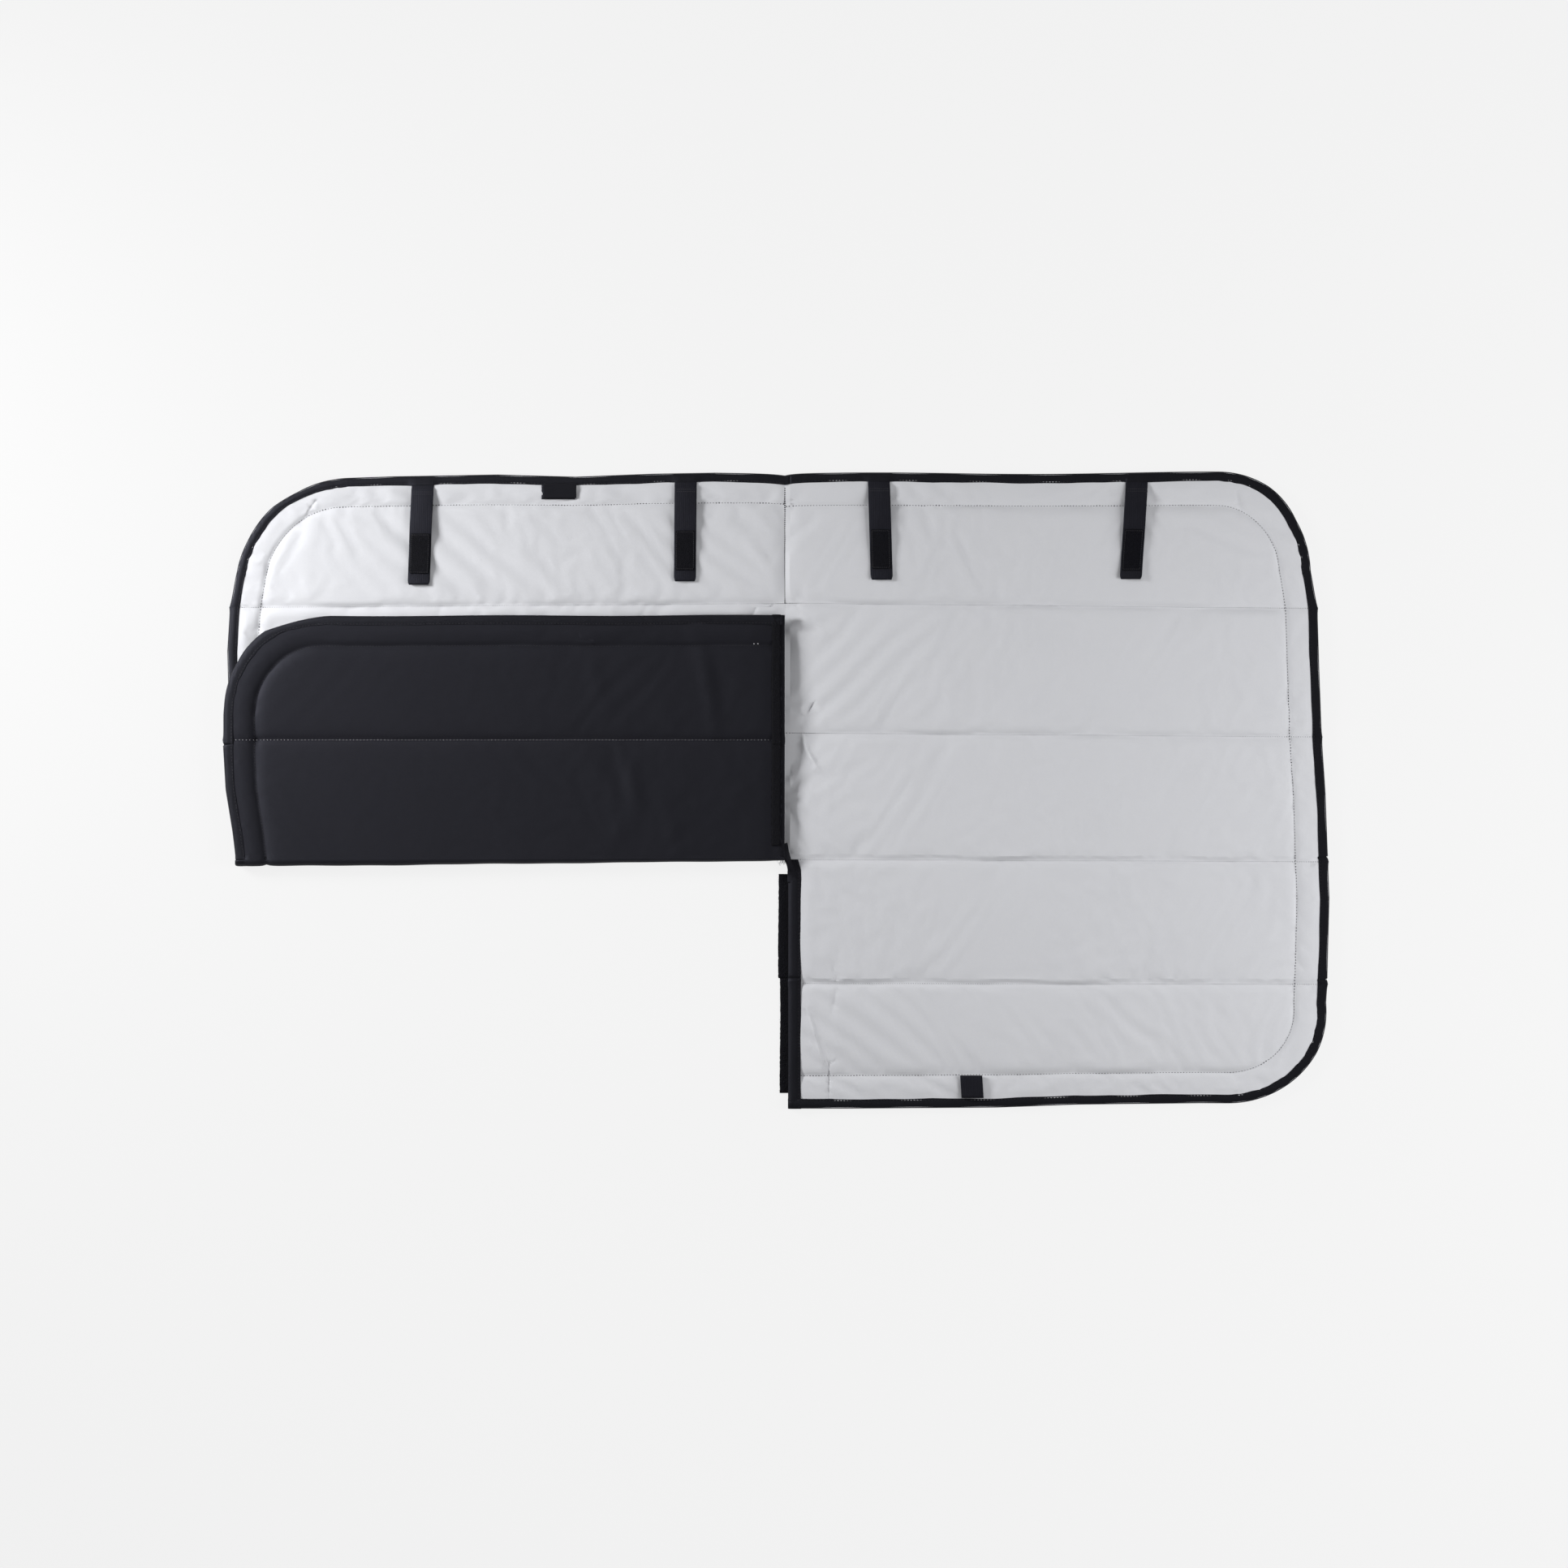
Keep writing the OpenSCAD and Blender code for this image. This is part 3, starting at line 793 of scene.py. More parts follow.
def section(row, side, width=BIND):
    """One cross-section of the binding: front side, outer edge, rear side, in points."""
    u, v, nu, nv = row
    run = u * abs(nv) + v * abs(nu)
    quilt = min(abs(v - line) for line in LINES)
    pinch = math.exp(-quilt / 3.0) * (abs(nu) > 0.9)
    wander = 0.35 * math.sin(run / 21.0) + 0.2 * math.sin(run / 8.3 + 1.0)
    front_z, rear_z = TAPE_Z[side]
    out = -1 if side == "flap" else 1
    if side == "flap" and abs(nu) > 0.9 and u < 1:
        rear_z = SLIT_TAPE_Z
    middle = (front_z + rear_z) / 2
    bump = over_strap(WARP[side](u, v)[0]) * (v > H - 1 and nv > 0.9)
    points = []
    for rear in (False, True):
        for share, lift in PROFILE[::-1] if rear else PROFILE:
            inset = share * width + (wander if share > 0.9 else 0) - (0.9 * pinch if share < 0.1 else 0.0)
            if rear:
                z = rear_z - out * (lift * 0.45 if lift > 0 else lift)
            else:
                lifted = lift + (1.5 * bump * share if lift > 0 else 0)
                z = front_z + out * (lifted + 0.12 * math.sin(run / 13.0))
                z -= out * 0.8 * pinch * (lift > 0)
            if share < 0.05:
                z = middle + (z - middle) * 0.6
            x, y = WARP[side](u - nu * inset, v - nv * inset)
            points.append((float(x), float(y), z))
    return points


def loft(sections):
    """A closed tube through sections that all have the same number of points, with both ends closed."""
    count = len(sections[0])
    points = [p for s in sections for p in s]
    faces = []
    for i in range(len(sections) - 1):
        for k in range(count):
            a, b = i * count + k, i * count + (k + 1) % count
            faces.append([a, b, b + count, a + count])
    last = (len(sections) - 1) * count
    faces.append(list(range(count))[::-1])
    faces.append([last + k for k in range(count)])
    return np.array(points, float), faces




def edge_rows(low, high):
    """The free edge between two heights, with extra rows at the quilt lines for the pinches there."""
    rows = clip_rows(outline(0.0, 4.0), low, high)
    extra = [v for line in LINES for v in (line - 1.5, line, line + 1.5) if low < v < high]
    side = rows[rows[:, 2] > 0.99]
    more = np.array([[W, v, 1.0, 0.0] for v in extra if side[:, 1].min() < v < side[:, 1].max()])
    if len(more):
        rows = np.vstack([rows, more])
        flat = np.where(rows[:, 1] > 0, -1e3 + rows[:, 0], 1e3 - rows[:, 0])
        order = np.where(rows[:, 2] > 0.99, -rows[:, 1], flat)
        corner = (rows[:, 2] <= 0.99) & (rows[:, 2] > 0.001)
        order[corner] = -rows[corner, 1]
        rows = rows[np.argsort(order, kind="stable")]
    return rows


def slit_rows(low, high, step=4.0):
    count = max(2, round((high - low) / step))
    return np.array([[0.0, high - (high - low) * k / count, -1.0, 0.0] for k in range(count + 1)])


# ---- stitches
def stitch_run(path, height, up, pitch=3.6, length=2.4, width=0.75, lift=0.32, shift=0.0):
    """A row of stitches along a path in x, y. height(x, y) is the surface, and up is +1 or -1."""
    middles, ways = resample(path, pitch)
    half = length / 2
    points, faces = [], []
    for (x, y), (tx, ty) in zip(middles + ways * shift, ways):
        a = len(points)
        b, r, q = a + 1, a + 2, a + 6
        for end in (-1, 1):
            px, py = x + tx * half * end, y + ty * half * end
            points.append((px, py, height(px, py) - up * 0.12))
        for end in (-1, 1):
            px, py = x + tx * half * end * 0.55, y + ty * half * end * 0.55
            z = height(px, py)
            for side, rise_z in ((-1, 0.03), (0, lift), (1, 0.03), (0, -0.2)):
                points.append((px - ty * side * width / 2, py + tx * side * width / 2, z + up * rise_z))
        for k in range(4):
            m = (k + 1) % 4
            faces += [[a, r + m, r + k], [b, q + k, q + m], [r + k, r + m, q + m, q + k]]
    return np.array(points).reshape(-1, 3), faces


def warped(rows, side):
    """A path in u, v as it lies in x, y."""
    rows = np.asarray(rows, float)
    return np.column_stack(WARP[side](rows[:, 0], rows[:, 1]))


def over(side, front):
    """Height function of a sheet's front or rear. Past the sheet it is the edge tape's height."""
    edge = TAPE_Z[side][side == "flap"] if front else 0.3
    return lambda x, y: surface_z(side, front, x, y, edge)


def line_path(side, line, start, end):
    return warped([(start + (end - start) * k / 60, line) for k in range(61)], side)


# ---- panels
# For the panels that bend from the one before them: that panel, and where the blend starts and ends. Only
# which panels are listed is read; no blend is made.
HINGES = {
    "left_upper": ("right_upper", (5.8, 0, 0), (-5.8, 0, 0)),
    "right_middle": ("right_upper", (0, LINE_3 + 3.4, 0), (0, LINE_3 - 8.6, 0)),
    "right_bottom": ("right_middle", (0, LINE_4 + 5.2, 0), (0, LINE_4 - 6.8, 0)),
    "left_bottom": ("left_middle", (0, FLAP_LINE_4 - 9.6, 0), (0, FLAP_LINE_4 + 2.4, 0)),
}


def attach(obj, panel):
    """Makes a piece ride on a panel. A piece of a panel listed in HINGES is not attached; its placement is
    only baked into its mesh.
    """
    if panel in HINGES:
        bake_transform(obj)
    else:
        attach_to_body(obj, panel)


# Each panel's lowest and highest v, its sheet, and the quilt rows that are sewn on it.
RANGE = {
    "right_upper": (LINE_3 + JOIN, H), "right_middle": (LINE_4 + JOIN, LINE_3 + JOIN),
    "right_bottom": (-H, LINE_4 + JOIN), "left_upper": (LINE_3, H),
    "left_middle": (LINE_4 + JOIN, LINE_3), "left_bottom": (-H, LINE_4 + JOIN),
}
SIDE = {"right_upper": "right", "right_middle": "right", "right_bottom": "right", "left_upper": "left",
        "left_middle": "flap", "left_bottom": "flap"}
ROWS = {"right_upper": (LINE_1, LINE_2), "right_middle": (LINE_3,), "right_bottom": (LINE_4,),
        "left_upper": (LINE_1, LINE_2), "left_middle": (), "left_bottom": (LINE_4,)}


def inside(panel):
    """The test that picks a panel's own triangles from its sheet."""
    low, high = RANGE[panel]
    if panel == "right_upper":
        return lambda u, v: (v > low) & (u > JOIN)
    return lambda u, v: (v > low) & (v < high)


def seam_strip(u, v):
    """The narrow strip of the right leaf that bends with the centre seam."""
    return (u < JOIN) & (v > LINE_3 + JOIN)


def skin(panel, front):
    """The face or back fabric of one panel."""
    side = SIDE[panel]
    kind = "face" if front != (side == "flap") else "back"
    parts = [SHEETS[side].part(inside(panel), LAID[side, front], not front)]
    if panel == "left_upper":
        parts.append(RIGHT.part(seam_strip, LAID["right", front], not front))
    obj = piece(f"{panel}_{kind}_cloth", *weld(parts), f"{kind}_fabric")
    attach(obj, panel)
    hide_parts(f"{panel}_{kind}")


def cut_area(panel):
    """The flat area of a panel's cut, in square metres."""
    sheet = SHEETS[SIDE[panel]]
    tri = sheet.uv[sheet.faces(inside(panel))]
    a, b = tri[:, 1] - tri[:, 0], tri[:, 2] - tri[:, 0]
    return abs(a[:, 0] * b[:, 1] - a[:, 1] * b[:, 0]).sum() / 2 * MM * MM


def panel_binding(panel):
    """The tape folded over one panel's free edges."""
    side = SIDE[panel]
    low, high = RANGE[panel]
    rows = edge_rows(low, high)
    if panel == "right_upper":
        rows = np.vstack([[JOIN, H, 0, 1], rows[(rows[:, 0] > JOIN) | (rows[:, 1] < 0)]])
    sections = [section(r, side) for r in rows]
    if panel == "left_upper":
        sections = [section((u, H, 0, 1), "right") for u in (JOIN, JOIN / 2)] + sections
    parts = [loft(sections)]
    if high <= LINE_3 + JOIN:
        width = SLIT_BIND if side == "right" else BIND
        parts.append(loft([section(r, side, width) for r in slit_rows(low, min(high, LINE_3))]))
    obj = outward(piece(f"{panel}_binding_tape", *merged(parts), "binding_tape"))
    attach(obj, panel)
    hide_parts(f"{panel}_binding")


HEM_STITCH = dict(pitch=3.3, length=2.0, width=1.5, lift=0.25)
TAPE_STITCH = dict(length=2.2, lift=0.3)
TAPE_SEWN = 0.84  # the tape's stitch row, as a share of the tape's width


def panel_stitches(panel):
    """Hem, quilt and binding rows of one panel, on both sides."""
    side = SIDE[panel]
    low, high = RANGE[panel]
    first = JOIN if panel == "right_upper" else 0.0
    hem, tape = (clip_rows(outline(inset, 4.0), low, high) for inset in (HEM[side], BIND * TAPE_SEWN))
    hem, tape = (warped(rows[rows[:, 0] >= first], side) for rows in (hem, tape))
    begin = SLIT_BIND if panel in ("right_middle", "right_bottom") else BIND if side == "flap" else first
    threads = {"grey_thread": [], "light_thread": [], "dark_thread": []}

    def sew(thread_name, path, height, up, **size):
        threads[thread_name].append(stitch_run(path, height, up, **size))

    for front, up in ((True, 1), (False, -1)):
        light = front != (side == "flap")
        on_seam = panel == "left_upper" and front
        height = over(side, front)
        hem_thread = "grey_thread" if light else "dark_thread"
        sew(hem_thread, hem, height, up, **HEM_STITCH)
        if on_seam:
            strip = line_path("right", H - HEM["right"], 0, JOIN)
            sew(hem_thread, strip, over("right", front), up, **HEM_STITCH)
        for line in ROWS[panel]:
            path = line_path(side, line, begin, W - BIND)
            quilt_thread = "light_thread" if light else "dark_thread"
            sew(quilt_thread, path, height, up, pitch=2.6, length=1.7, width=0.9)
            # On the light side, the short dark dots between the quilt stitches are painted shade in the
            # needle holes, in the dark grey thread's material.
            holes, gap = ("grey_thread", 2.6) if light else ("light_thread", 3.9)
            sew(holes, path, height, up, pitch=gap, length=1.0, width=1.0, lift=0.27, shift=1.3)
            if on_seam:
                sew("grey_thread", line_path("right", line, 0, JOIN), over("right", front), up)
        lift = up * (0.42 if light else 0.2)
        base = TAPE_Z[side][0 if light else 1]
        sew("dark_thread", tape, lambda x, y: base + lift, up, **TAPE_STITCH)
        if side != "left" and panel != "right_upper":
            slit = slit_rows(low, min(high, LINE_3))
            slit[:, 0] = (SLIT_BIND if side == "right" else BIND) * TAPE_SEWN
            if side == "flap" and not light:
                base = SLIT_TAPE_Z
            sew("dark_thread", warped(slit, side), lambda x, y: base + lift, up, **TAPE_STITCH)
    if panel == "left_upper":
        seam = np.array([(0.0, LINE_3 + 8 + k * 3) for k in range(int((H - BIND - LINE_3 - 8) / 3))])
        upper = warped(seam[seam[:, 1] > LINE_1 - 4], "right")
        lower = warped(seam[seam[:, 1] < LINE_1], "right")
        face = over("right", True)
        sew("dark_thread", upper, face, 1, pitch=2.4, length=1.9, width=1.7, lift=0.3)
        sew("light_thread", lower, face, 1, pitch=2.4, length=1.5, width=1.1, lift=0.35)
        sew("dark_thread", warped(seam, "right"), over("right", False), -1)
    if panel == "left_bottom":
        tack = [(-37.0, 165.5), (-28.0, 165.5)]
        sew("light_thread", tack, over("flap", True), 1, pitch=4.4, length=1.5, width=1.5, lift=0.5)
    for name, parts in threads.items():
        parts = [p for p in parts if len(p[0])]
        if parts:
            slot = "dark_thread" if name == "dark_thread" else "light_thread"
            attach(piece(f"{panel}_{name}", *merged(parts), name, slot), panel)


COARSE = {}


def filling(panel):
    """The batting between the two fabrics of one panel, which stops short of the folds."""
    side = SIDE[panel]
    if side not in COARSE:
        low, high = (LINE_3, H) if side == "left" else (-H, H if side == "right" else LINE_3)
        COARSE[side] = triangulate(low, high, side, 16.0)
    uv, tri = COARSE[side]
    low, high = RANGE[panel]
    u, v = uv[tri].mean(1).T
    keep = (uv[tri, 1].min(1) > low + (8 if low > -H else -1)) & (edge_distance(u, v) > 6) & (u > 17)
    keep &= uv[tri, 1].max(1) < high - (16 if high < H else -1)
    used, tri = np.unique(tri[keep], return_inverse=True)
    tri = tri.reshape(-1, 3)
    x, y = WARP[side](uv[used, 0], uv[used, 1])
    turns = np.arange(0, 6.2, math.pi / 3)
    around = [(0, 0)] + [(r * math.cos(a), r * math.sin(a)) for r in (6, 12) for a in turns]

    def limit(front, pick, default):
        return np.array([pick([surface_z(side, front, a + p, b + q, default) for p, q in around])
                         for a, b in zip(x, y)])

    above = limit(True, min, 6.0 if side != "flap" else 17.0)
    below = limit(False, max, 0.3 if side != "flap" else 11.0)
    centre, half = (above + below) / 2, np.maximum((above - below) / 2 - 0.8, 0.2)
    count = len(used)
    points = np.vstack([np.column_stack([x, y, z]) for z in (centre + half, centre - half)])
    faces = tri.tolist() + (tri[:, ::-1] + count).tolist()
    edges = {(t[k], t[(k + 1) % 3]): None for t in tri.tolist() for k in range(3)}
    faces += [[b, a, a + count, b + count] for a, b in edges if (b, a) not in edges]
    obj = outward(piece(f"{panel}_filling", points, faces, "batting"))
    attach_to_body(obj, panel)
    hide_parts(f"{panel}_batting")


for panel in RANGE:
    filling(panel)
    skin(panel, True)
    skin(panel, False)
    panel_binding(panel)
    panel_stitches(panel)


# ---- the left leaf's main fold
def fold_radius(u):
    return 3.0 + 4.7 * np.clip(u / 620, 0, 1)


def turned(start, end, steps, reach):
    """Sections from start points under the fold to end points over it, in an arc on the -Y side."""
    start, end = np.asarray(start, float), np.asarray(end, float)
    out = []
    for k in range(steps + 1):
        s = k / steps
        angle = math.pi * (s - 0.5)
        rise = (HINGE_Z - start[:, 2]) * (1 - s) + (end[:, 2] - HINGE_Z) * s
        p = start * (1 - s) + end * s
        p[:, 1] -= reach * (rise / 9.2) * math.cos(angle)
        p[:, 2] = HINGE_Z + math.sin(angle) * rise
        out.append(p)
    return out


def row_of(side, points):
    """The points of a sheet's edge along the main fold, from the seam outwards."""
    sheet = SHEETS[side]
    on = np.flatnonzero(np.abs(sheet.uv[:, 1] - LINE_3) < 0.2)
    on = on[np.argsort(sheet.uv[on, 0])]
    return sheet.uv[on, 0], points[on]


def fold_cloth(name, material, low_points, high_points, steps, reach_share):
    u_low, low_row = row_of("left", low_points)
    u_high, high_row = row_of("flap", high_points)
    count = 150
    u = np.linspace(0, W - 1.5, count)
    start, end = (np.column_stack([np.interp(u, at, row[:, k]) for k in range(3)])
                  for at, row in ((u_low, low_row), (u_high, high_row)))
    ripple = 1 + 0.05 * np.sin(u / 31.0) + 0.03 * np.sin(u / 11.0)
    rings = turned(start, end, steps, fold_radius(u) * ripple * reach_share)
    corners = [j * count + i for j in range(steps) for i in range(count - 1)]
    return piece(name, np.vstack(rings), [[a, a + 1, a + count + 1, a + count] for a in corners], material)


outer = fold_cloth("left_fold_outer_cloth", "back_fabric", LAID["left", False], FLAP.points, 14, 1.0)
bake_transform(outer)
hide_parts("left_fold_web")
inner = fold_cloth("left_fold_inner_cloth", "face_fabric", LEFT.points, LAID["flap", False], 8, 0.6)
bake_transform(inner)
first = np.array(section((W, LINE_3, 1.0, 0.0), "left"))
last = np.array(section((W, LINE_3, 1.0, 0.0), "flap"))
fold_tape = loft([s.tolist() for s in turned(first, last, 14, 7.7)])
fold_tape = outward(piece("left_fold_binding_tape", *fold_tape, "binding_tape"))
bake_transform(fold_tape)


# ---- ribbons: straps, tabs and label
def ribbon(path, width, thickness, shift):
    """A flat ribbon with rounded edges along a path in y, z. width[k] and shift[k] are those of section k."""
    path = np.asarray(path, float)
    half_ring = ((-1, -0.35), (-0.985, -0.8), (-0.9, -1), (0, -1), (0.9, -1), (0.985, -0.8), (1, -0.35))
    ring = half_ring + tuple((-x, -t) for x, t in half_ring)
    sections = []
    for k in range(len(path)):
        a, b = path[max(k - 1, 0)], path[min(k + 1, len(path) - 1)]
        way = (b - a) / max(np.linalg.norm(b - a), 1e-9)
        normal = np.array([-way[1], way[0]])
        sections.append([(x * width[k] / 2 + shift[k], *(path[k] + normal * t * (thickness / 2)))
                         for x, t in ring])
    return loft(sections)


def end_widths(count, width, ends=(True, True), corner=1.5):
    """Widths that round a ribbon's free ends."""
    out = np.full(count, float(width))
    if ends[1]:
        out[-1], out[-2] = width - 2 * corner, width - 0.6 * corner
    if ends[0]:
        out[0], out[1] = width - 2 * corner, width - 0.6 * corner
    return out


WEBBING = 25.0
# Each strap's leaf, length, sideways lean, and how far its middle and its tip stand up.
STRAPS = [("left", 113, -4.6, 3.0, 1.4), ("left", 112, -1.0, 2.4, 0.6),
          ("right", 111, 3.4, 2.8, 0.8), ("right", 110, -7.5, 2.6, 1.2)]


def strap(number, x0, side, length, tilt, arch, tip):
    """One webbing strap, sewn under the top tape and hanging on the face, with its hook patch."""
    body = f"strap_{number}"
    y_top = float(WARP[side](abs(x0), H - BIND + 5)[1])
    t = np.linspace(0, 1, 48)
    y = y_top - (length + 5) * t
    shift = x0 + tilt * t
    ground = np.array([max(surface_z(side, True, sx + dx, sy, 6.6) for dx in (-11, 0, 11))
                       for sx, sy in zip(shift, y)])
    smooth = np.convolve(np.pad(ground, 4, "edge"), np.ones(9) / 9, "valid")
    curl = arch * np.sin(np.pi * np.clip(t / 0.72, 0, 1)) ** 1.3 + tip * rise(t, 0.72, 0.28) ** 2
    z = np.maximum(smooth, ground - 0.3) + 1.1 + curl + 0.25 * np.sin(t * 17 + number)
    z[t < 0.06] = np.minimum(z[t < 0.06], 6.9)
    z[:4] = (6.5, 6.5, 6.6, 6.8)
    z = np.minimum(z, 12.6)
    path = np.column_stack([y, z])
    web = ribbon(path, end_widths(len(t), WEBBING, (False, True)), 1.5, shift)
    solid(f"{body}_web", web, "webbing", body, f"{body}_webbing")
    on = np.flatnonzero((y < y_top - 58) & (y > y_top - 106))
    pad = ribbon(path[on] + (0, 1.25), end_widths(len(on), 22, corner=1.0), 1.1, shift[on])
    solid(f"{body}_hook_pad", pad, "hook_tape", body, f"{body}_hook_patch")

    def x_at(y_at, off):
        return float(np.interp(-y_at, -y, shift)) + off, y_at

    def height(lift):
        return lambda px, py: float(np.interp(-py, -y, z)) + lift

    y0, y1 = y[on[0]] - 1.6, y[on[-1]] + 1.6
    box = [x_at(y0, -9.6), x_at(y0, 9.6), x_at(y1, 9.6), x_at(y1, -9.6), x_at(y0, -9.6)]
    runs = [stitch_run(edge, height(1.82), 1, 2.4, 1.7, 0.55, 0.35) for edge in zip(box, box[1:])]
    for down in (13, 15.5):
        tack = [x_at(y_top - down, -10.5), x_at(y_top - down, 10.5)]
        runs.append(stitch_run(tack, height(0.75), 1, 2.4, 1.7, 0.5, 0.3))
    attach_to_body(piece(f"{body}_stitches", *merged(runs), "grey_thread", "dark_thread"), body)


for number, (x0, shape) in enumerate(zip(STRAP_X, STRAPS), 1):
    strap(number, x0, *shape)


def tab_path(y_in, y_out, z_low, z_high, bend=7):
    """Out along the low side, round the loop at y_out, and back along the high side."""
    radius = (z_high - z_low) / 2
    way = 1 if y_out > y_in else -1
    y_turn = y_out - way * radius
    low = [(y_in + (y_out - y_in) * k / 7, z_low) for k in range(7)] + [(y_turn, z_low)]
    arc = [(y_turn + way * radius * math.sin(math.pi * k / bend),
            z_low + radius - radius * math.cos(math.pi * k / bend)) for k in range(1, bend)]
    return low + arc + [(y_turn - (y_turn - y_in) * k / 7, z_high) for k in range(8)]


TAB_X, LABEL_X = (mm(sum(b.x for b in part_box(node))) / 2 for node in ("right_hem_tab", "woven_label"))
RIGHT_TAB_Y = joint_at("right_hem_tab_lift")[1] - 1.0
LEFT_TAB_Y = float(warp_flap(TAB_X, -H + BIND - 4)[1])
for name, x, y_in, reach, z_low, z_high, thickness, lean, body in (
        ("right", TAB_X, RIGHT_TAB_Y, 25, 7.9, 9.5, 1.3, 0.06, "right_hem_tab"),
        ("left", -TAB_X, LEFT_TAB_Y, -28, 10.75, 9.65, 0.9, 0.0, "left_bottom")):
    path = tab_path(y_in, y_in + reach, z_low, z_high)
    tab = ribbon(path, [WEBBING] * len(path), thickness, [x - lean * (p[0] - y_in) for p in path])
    solid(f"{name}_tab_web", tab, "webbing", body, f"{name}_hem_tab")

y_in = float(warp_left(-LABEL_X, H - BIND + 2)[1])
parts = []
for off, z_in, z_out, reach in ((0.0, 7.2, 7.6, 17.6), (1.4, 7.75, 8.5, 16.2)):
    path = [(y_in - reach * k / 10, z_in + (z_out - z_in) * k / 10 + 0.3 * math.sin(k * 0.6))
            for k in range(11)]
    parts.append(ribbon(path, [38.0] * 11, 0.4, [LABEL_X + off] * 11))
solid("plain_label", merged(parts), "label", "label", "woven_label")


# ---- hook and loop strips
def pile_strip(z_low, z_top, x0, x1, y0, y1, seed):
    """A pile strip that runs along Y, with a rough top, a ragged outer edge and loose hairs."""
    rng = np.random.default_rng(seed)
    n, m = max(3, round((y1 - y0) / 2.5)), 7
    ys = np.linspace(y0, y1, n + 1)
    ragged = 0.35 * np.sin(ys / 23.0) + rng.normal(0, 0.12, n + 1)
    sections = []
    for k, y in enumerate(ys):
        a, b = x0 + ragged[k], x1 + 0.2 * math.sin(y / 31.0)
        ring = [(a + (b - a) * i / (m - 1), y, z_low) for i in range(m)]
        ring += [(b + (a - b) * i / (m - 1), y,
                  z_top + rng.normal(0, 0.06) - (0.25 if i in (0, m - 1) else 0)) for i in range(m)]
        sections.append(ring)
    points, faces = [], []
    for _ in range(int((y1 - y0) * 2.2)):
        x = x0 + rng.uniform(-0.3, 2.0) if rng.random() < 0.6 else rng.uniform(x0, x1)
        y = rng.uniform(y0 + 0.5, y1 - 0.5)
        dx, dy = rng.normal(-0.5 if x < x0 + 2 else 0, 0.35), rng.normal(0, 0.35)
        s = len(points)
        z = z_top - 0.2
        points += [(x - 0.14, y, z), (x + 0.14, y, z), (x, y + 0.2, z),
                   (x + dx, y + dy, z + rng.uniform(0.15, 0.35))]
        faces += [[s, s + 1, s + 3], [s + 1, s + 2, s + 3], [s + 2, s, s + 3], [s, s + 2, s + 1]]
    return merged([loft(sections), (np.array(points), faces)])


HOOK_Z, LOOP_Z = (0.3, 1.3), (16.1, 17.3)
LOOP_X = (-14.6, -4.6)
LOOP_SPLIT = FLAP_LINE_4 - 9.8
LOOP_END = mm(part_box("left_bottom_loop_strip")[1].y) + 13
# Panel, kind, heights, sides, low end and high end (None is the CAD strip's own end), and random seed.
for panel, kind, zs, xs, y_low, y_high, seed in (
        ("right_middle", "hook", HOOK_Z, (-7.4, 6.5), LINE_4 + JOIN, None, 3),
        ("right_bottom", "hook", HOOK_Z, (-5.6, 6.5), None, LINE_4 + JOIN, 4),
        ("left_middle", "loop", LOOP_Z, LOOP_X, None, LOOP_SPLIT, 5),
        ("left_bottom", "loop", LOOP_Z, LOOP_X, LOOP_SPLIT, LOOP_END, 6)):
    low, high = (mm(b.y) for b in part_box(f"{panel}_{kind}_strip"))
    shape = pile_strip(*zs, *xs, low if y_low is None else y_low, high if y_high is None else y_high, seed)
    obj = outward(piece(f"{panel}_{kind}_pile", *shape, f"{kind}_tape"))
    attach(obj, panel)
    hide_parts(f"{panel}_{kind}_strip")


# ---- the twisted tape at the slit's top end
def twisted_tape(route, thickness):
    """A flat tape through (x, y, z, width, roll) stations, with the roll in degrees about its own run."""
    route = np.asarray(route, float)
    fine = np.linspace(0, len(route) - 1, 5 * len(route))
    stops = np.column_stack([np.interp(fine, range(len(route)), route[:, k]) for k in range(5)])
    sections = []
    for k, stop in enumerate(stops):
        way = stops[min(k + 1, len(stops) - 1), :3] - stops[max(k - 1, 0), :3]
        flat = np.cross(way, (0, 0, 1))
        flat /= np.linalg.norm(flat)
        out = np.cross(flat, way / np.linalg.norm(way))
        roll = math.radians(stop[4])
        across = flat * math.cos(roll) + out * math.sin(roll)
        above = out * math.cos(roll) - flat * math.sin(roll)
        sections.append([tuple(stop[:3] + across * stop[3] / 2 * a + above * thickness / 2 * b) for a, b in
                         ((-1, -0.3), (-0.92, -1), (0, -0.8), (0.92, -1), (1, -0.3),
                          (1, 0.3), (0.92, 1), (0, 0.8), (-0.92, 1), (-1, 0.3))])
    return loft(sections)


def loose_ends(count, seed, place, reach):
    """Short frayed ends of thread that stick out round a place."""
    rng = np.random.default_rng(seed)
    parts = []
    for _ in range(count):
        start = np.array(place) + rng.normal(0, 1.0, 3) * (3.0, 0.8, 0.8)
        way = np.array([rng.normal(-0.2, 0.5), -1.0, rng.normal(-0.3, 0.2)]) * reach * rng.uniform(0.5, 1.0)
        bend = rng.normal(0, 0.9, 3)
        sections = []
        for t in np.linspace(0, 1, 6):
            x, y, z = start + way * t + bend * math.sin(math.pi * t)
            half = 0.22 * (1 - 0.4 * t)
            sections.append([(x - half, y, z), (x, y, z - half), (x + half, y, z), (x, y, z + half)])
        parts.append(loft(sections))
    return merged(parts)


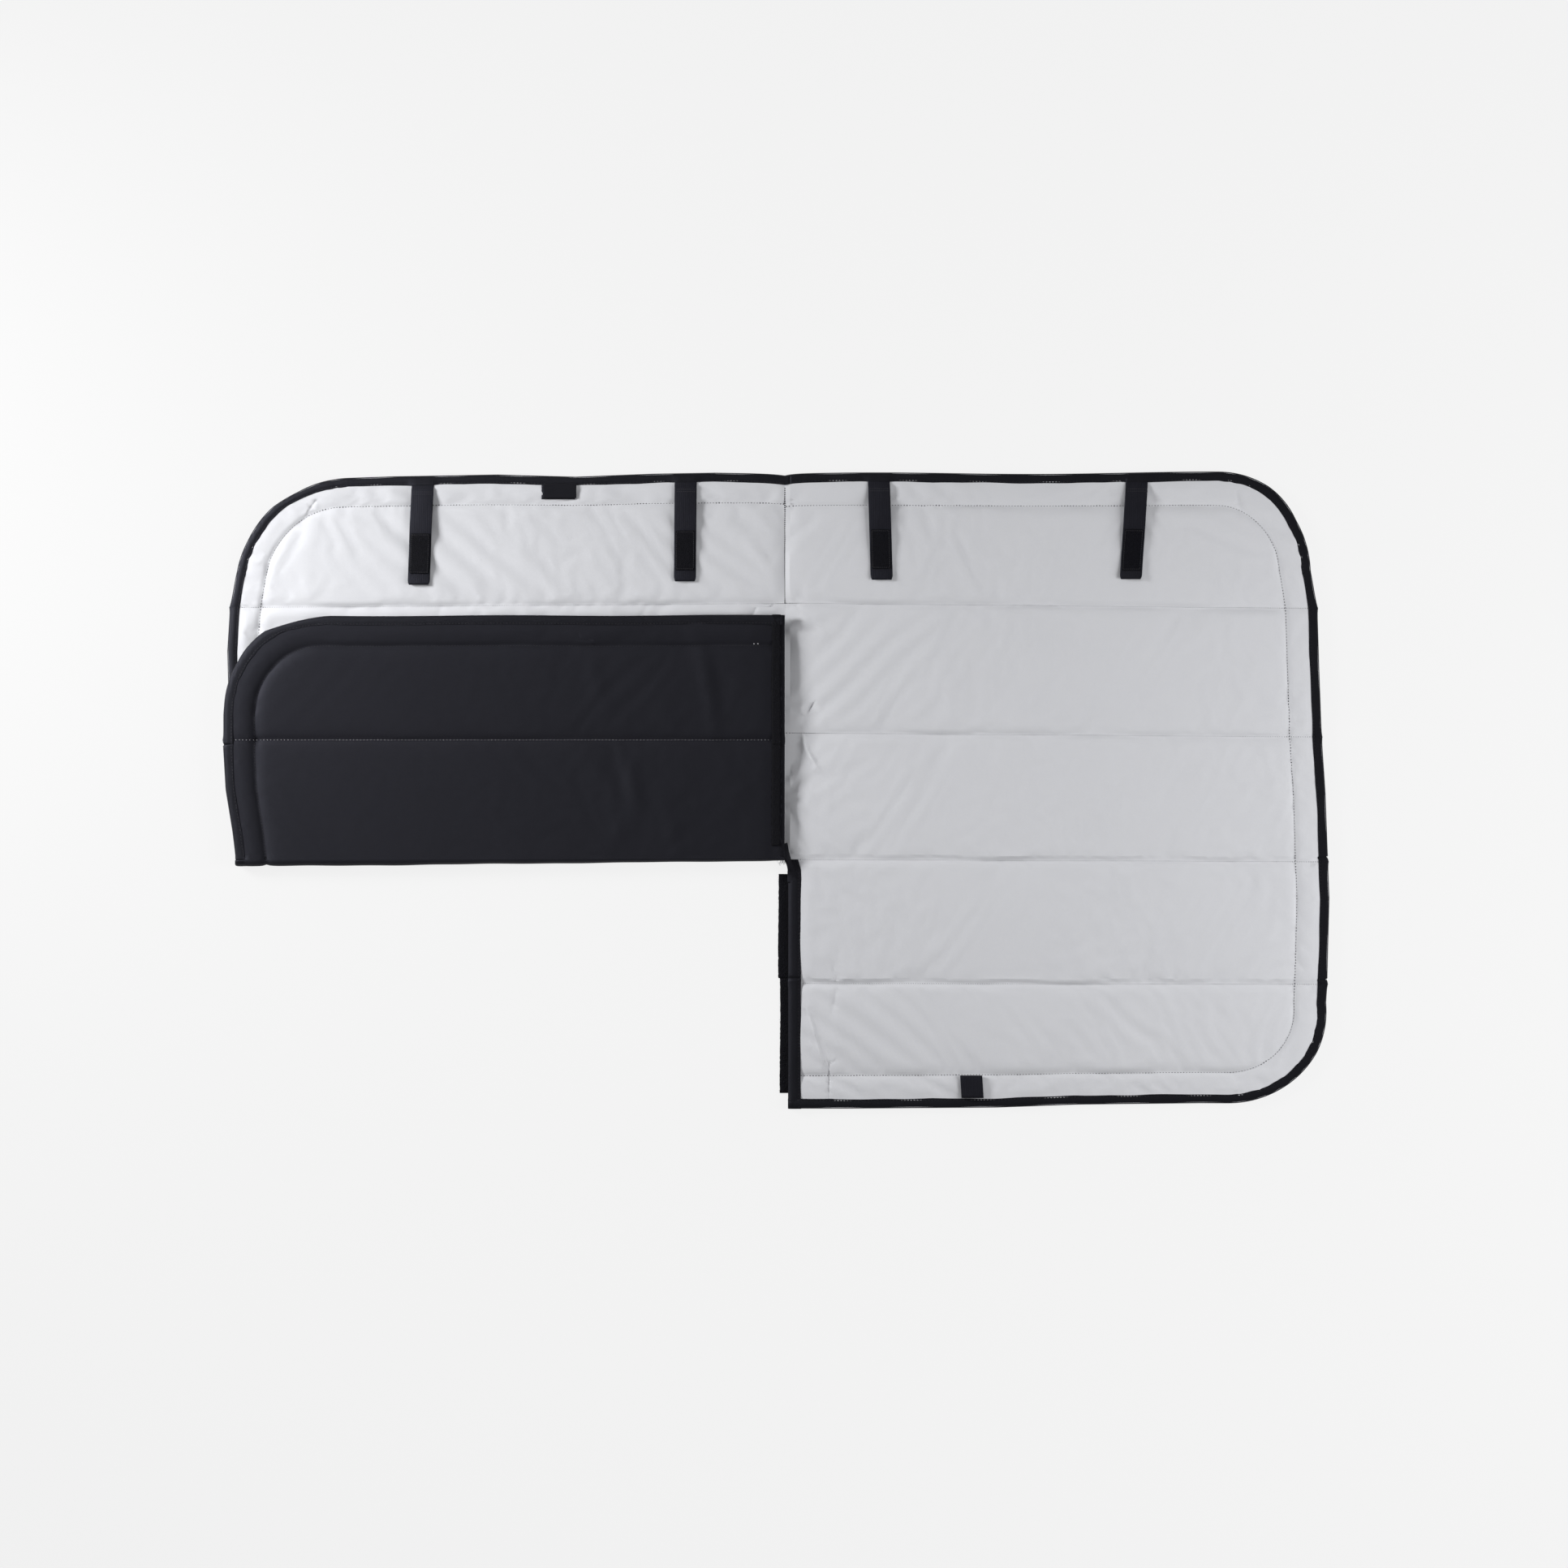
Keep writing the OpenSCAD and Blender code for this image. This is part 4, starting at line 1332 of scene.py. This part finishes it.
TWIST = [(-2.5, -60, 13.4, 11, 0), (-1, -68, 13.0, 11, 8), (2.0, -75, 11.2, 9.5, 35),
         (5.0, -82, 8.6, 8.5, 48),
         (7.6, -89, 6.4, 10, 20), (8.6, -96, 5.6, 11.5, 0), (9.0, -104, 5.0, 12, 0)]
attach(outward(piece("slit_top_tape", *twisted_tape(TWIST, 2.2), "binding_tape")), "right_middle")
light_ends, dark_ends = (-3.5, LINE_3 - 1.5, 12.0), (-2.0, LINE_3 - 1.0, 12.0)
solid("loose_thread_ends", loose_ends(9, 11, light_ends, 4.5), "light_thread", "right_upper")
solid("loose_dark_ends", loose_ends(8, 12, dark_ends, 4.5), "dark_thread", "right_upper")


# ---- magnets in the hems
def separate(points, reach):
    """Groups points into solids, which lie further apart than reach."""
    groups = []
    for p in points:
        near = next((g for g in groups if math.dist(g[0][:2], p[:2]) < reach), None)
        if near is None:
            groups.append([p])
        else:
            near.append(p)
    return [np.array(g) for g in groups]


for panel, side in SIDE.items():
    node = frame["nodes"][f"{panel}_magnets"]
    bars = []
    for bar in separate([[mm(c) for c in v.co] for v in node.data.vertices], 40):
        long_x, long_y = np.ptp(bar[:, 0]), np.ptp(bar[:, 1])
        middle_x, middle_y = (bar.min(0) + bar.max(0))[:2] / 2
        x, y = WARP[side](abs(middle_x), unfolded(side, middle_y))
        z = 14.4 if side == "flap" else 2.9
        path = [(y + long_y * (share - 0.5), z) for share in (0, 0.06, 0.12, 0.5, 0.88, 0.94, 1)]
        bars.append(ribbon(path, end_widths(len(path), long_x, corner=0.8), 3.0, [float(x)] * len(path)))
    solid(f"{panel}_magnet_bars", merged(bars), "magnet", panel, f"{panel}_magnets")

# ---- the flat area of each panel's cut, which is worked out here and not kept
for panel, (low, high) in RANGE.items():
    for kind in ("face", "back"):
        cut_area(panel)


# ---- floor, surroundings and light
def glow(name, colour, strength, diffuse):
    material = bpy.data.materials.new(name)
    material.use_nodes = True
    tree = material.node_tree
    tree.nodes.remove(tree.nodes["Principled BSDF"])
    emit = tree.nodes.new("ShaderNodeEmission")
    emit.inputs["Color"].default_value = colour
    emit.inputs["Strength"].default_value = strength
    matt = tree.nodes.new("ShaderNodeBsdfDiffuse")
    matt.inputs["Color"].default_value = (diffuse, diffuse, diffuse, 1)
    both = tree.nodes.new("ShaderNodeAddShader")
    tree.links.new(emit.outputs[0], both.inputs[0])
    tree.links.new(matt.outputs[0], both.inputs[1])
    tree.links.new(both.outputs[0], tree.nodes["Material Output"].inputs["Surface"])
    return material


floor_data = bpy.data.meshes.new("floor")
corners = [(x, y, -0.0006) for x, y in ((-12, -12), (12, -12), (12, 12), (-12, 12))]
floor_data.from_pydata(corners, [], [(0, 1, 2, 3)])
floor = link(bpy.data.objects.new("floor", floor_data))
floor_data.materials.append(glow("floor", (1, 1, 1, 1), 0.84, 0.06))
bpy.ops.mesh.primitive_uv_sphere_add(radius=12, segments=64, ring_count=32, location=(0, 0, 0))
dome = bpy.context.object
dome.name = "surroundings"
dome.data.materials.append(glow("surroundings", (1, 1, 1, 1), 0.904, 0.0))
for ray in ("diffuse", "glossy", "transmission", "shadow"):
    setattr(dome, "visible_" + ray, False)

world = bpy.data.worlds.new("world")
scene.world = world
world.use_nodes = True
world.node_tree.nodes["Background"].inputs[0].default_value = (1, 1, 1, 1)
world.node_tree.nodes["Background"].inputs[1].default_value = 0.24
add_area("key", (-1.7, 0.6, 0.72), (-0.4, 0.03, 0), (0.5, 0.5), 13.6, 100, True)
add_area("fill", (1.9, -0.2, 1.0), (0.45, 0, 0), (0.9, 1.5), 37, 180, False)
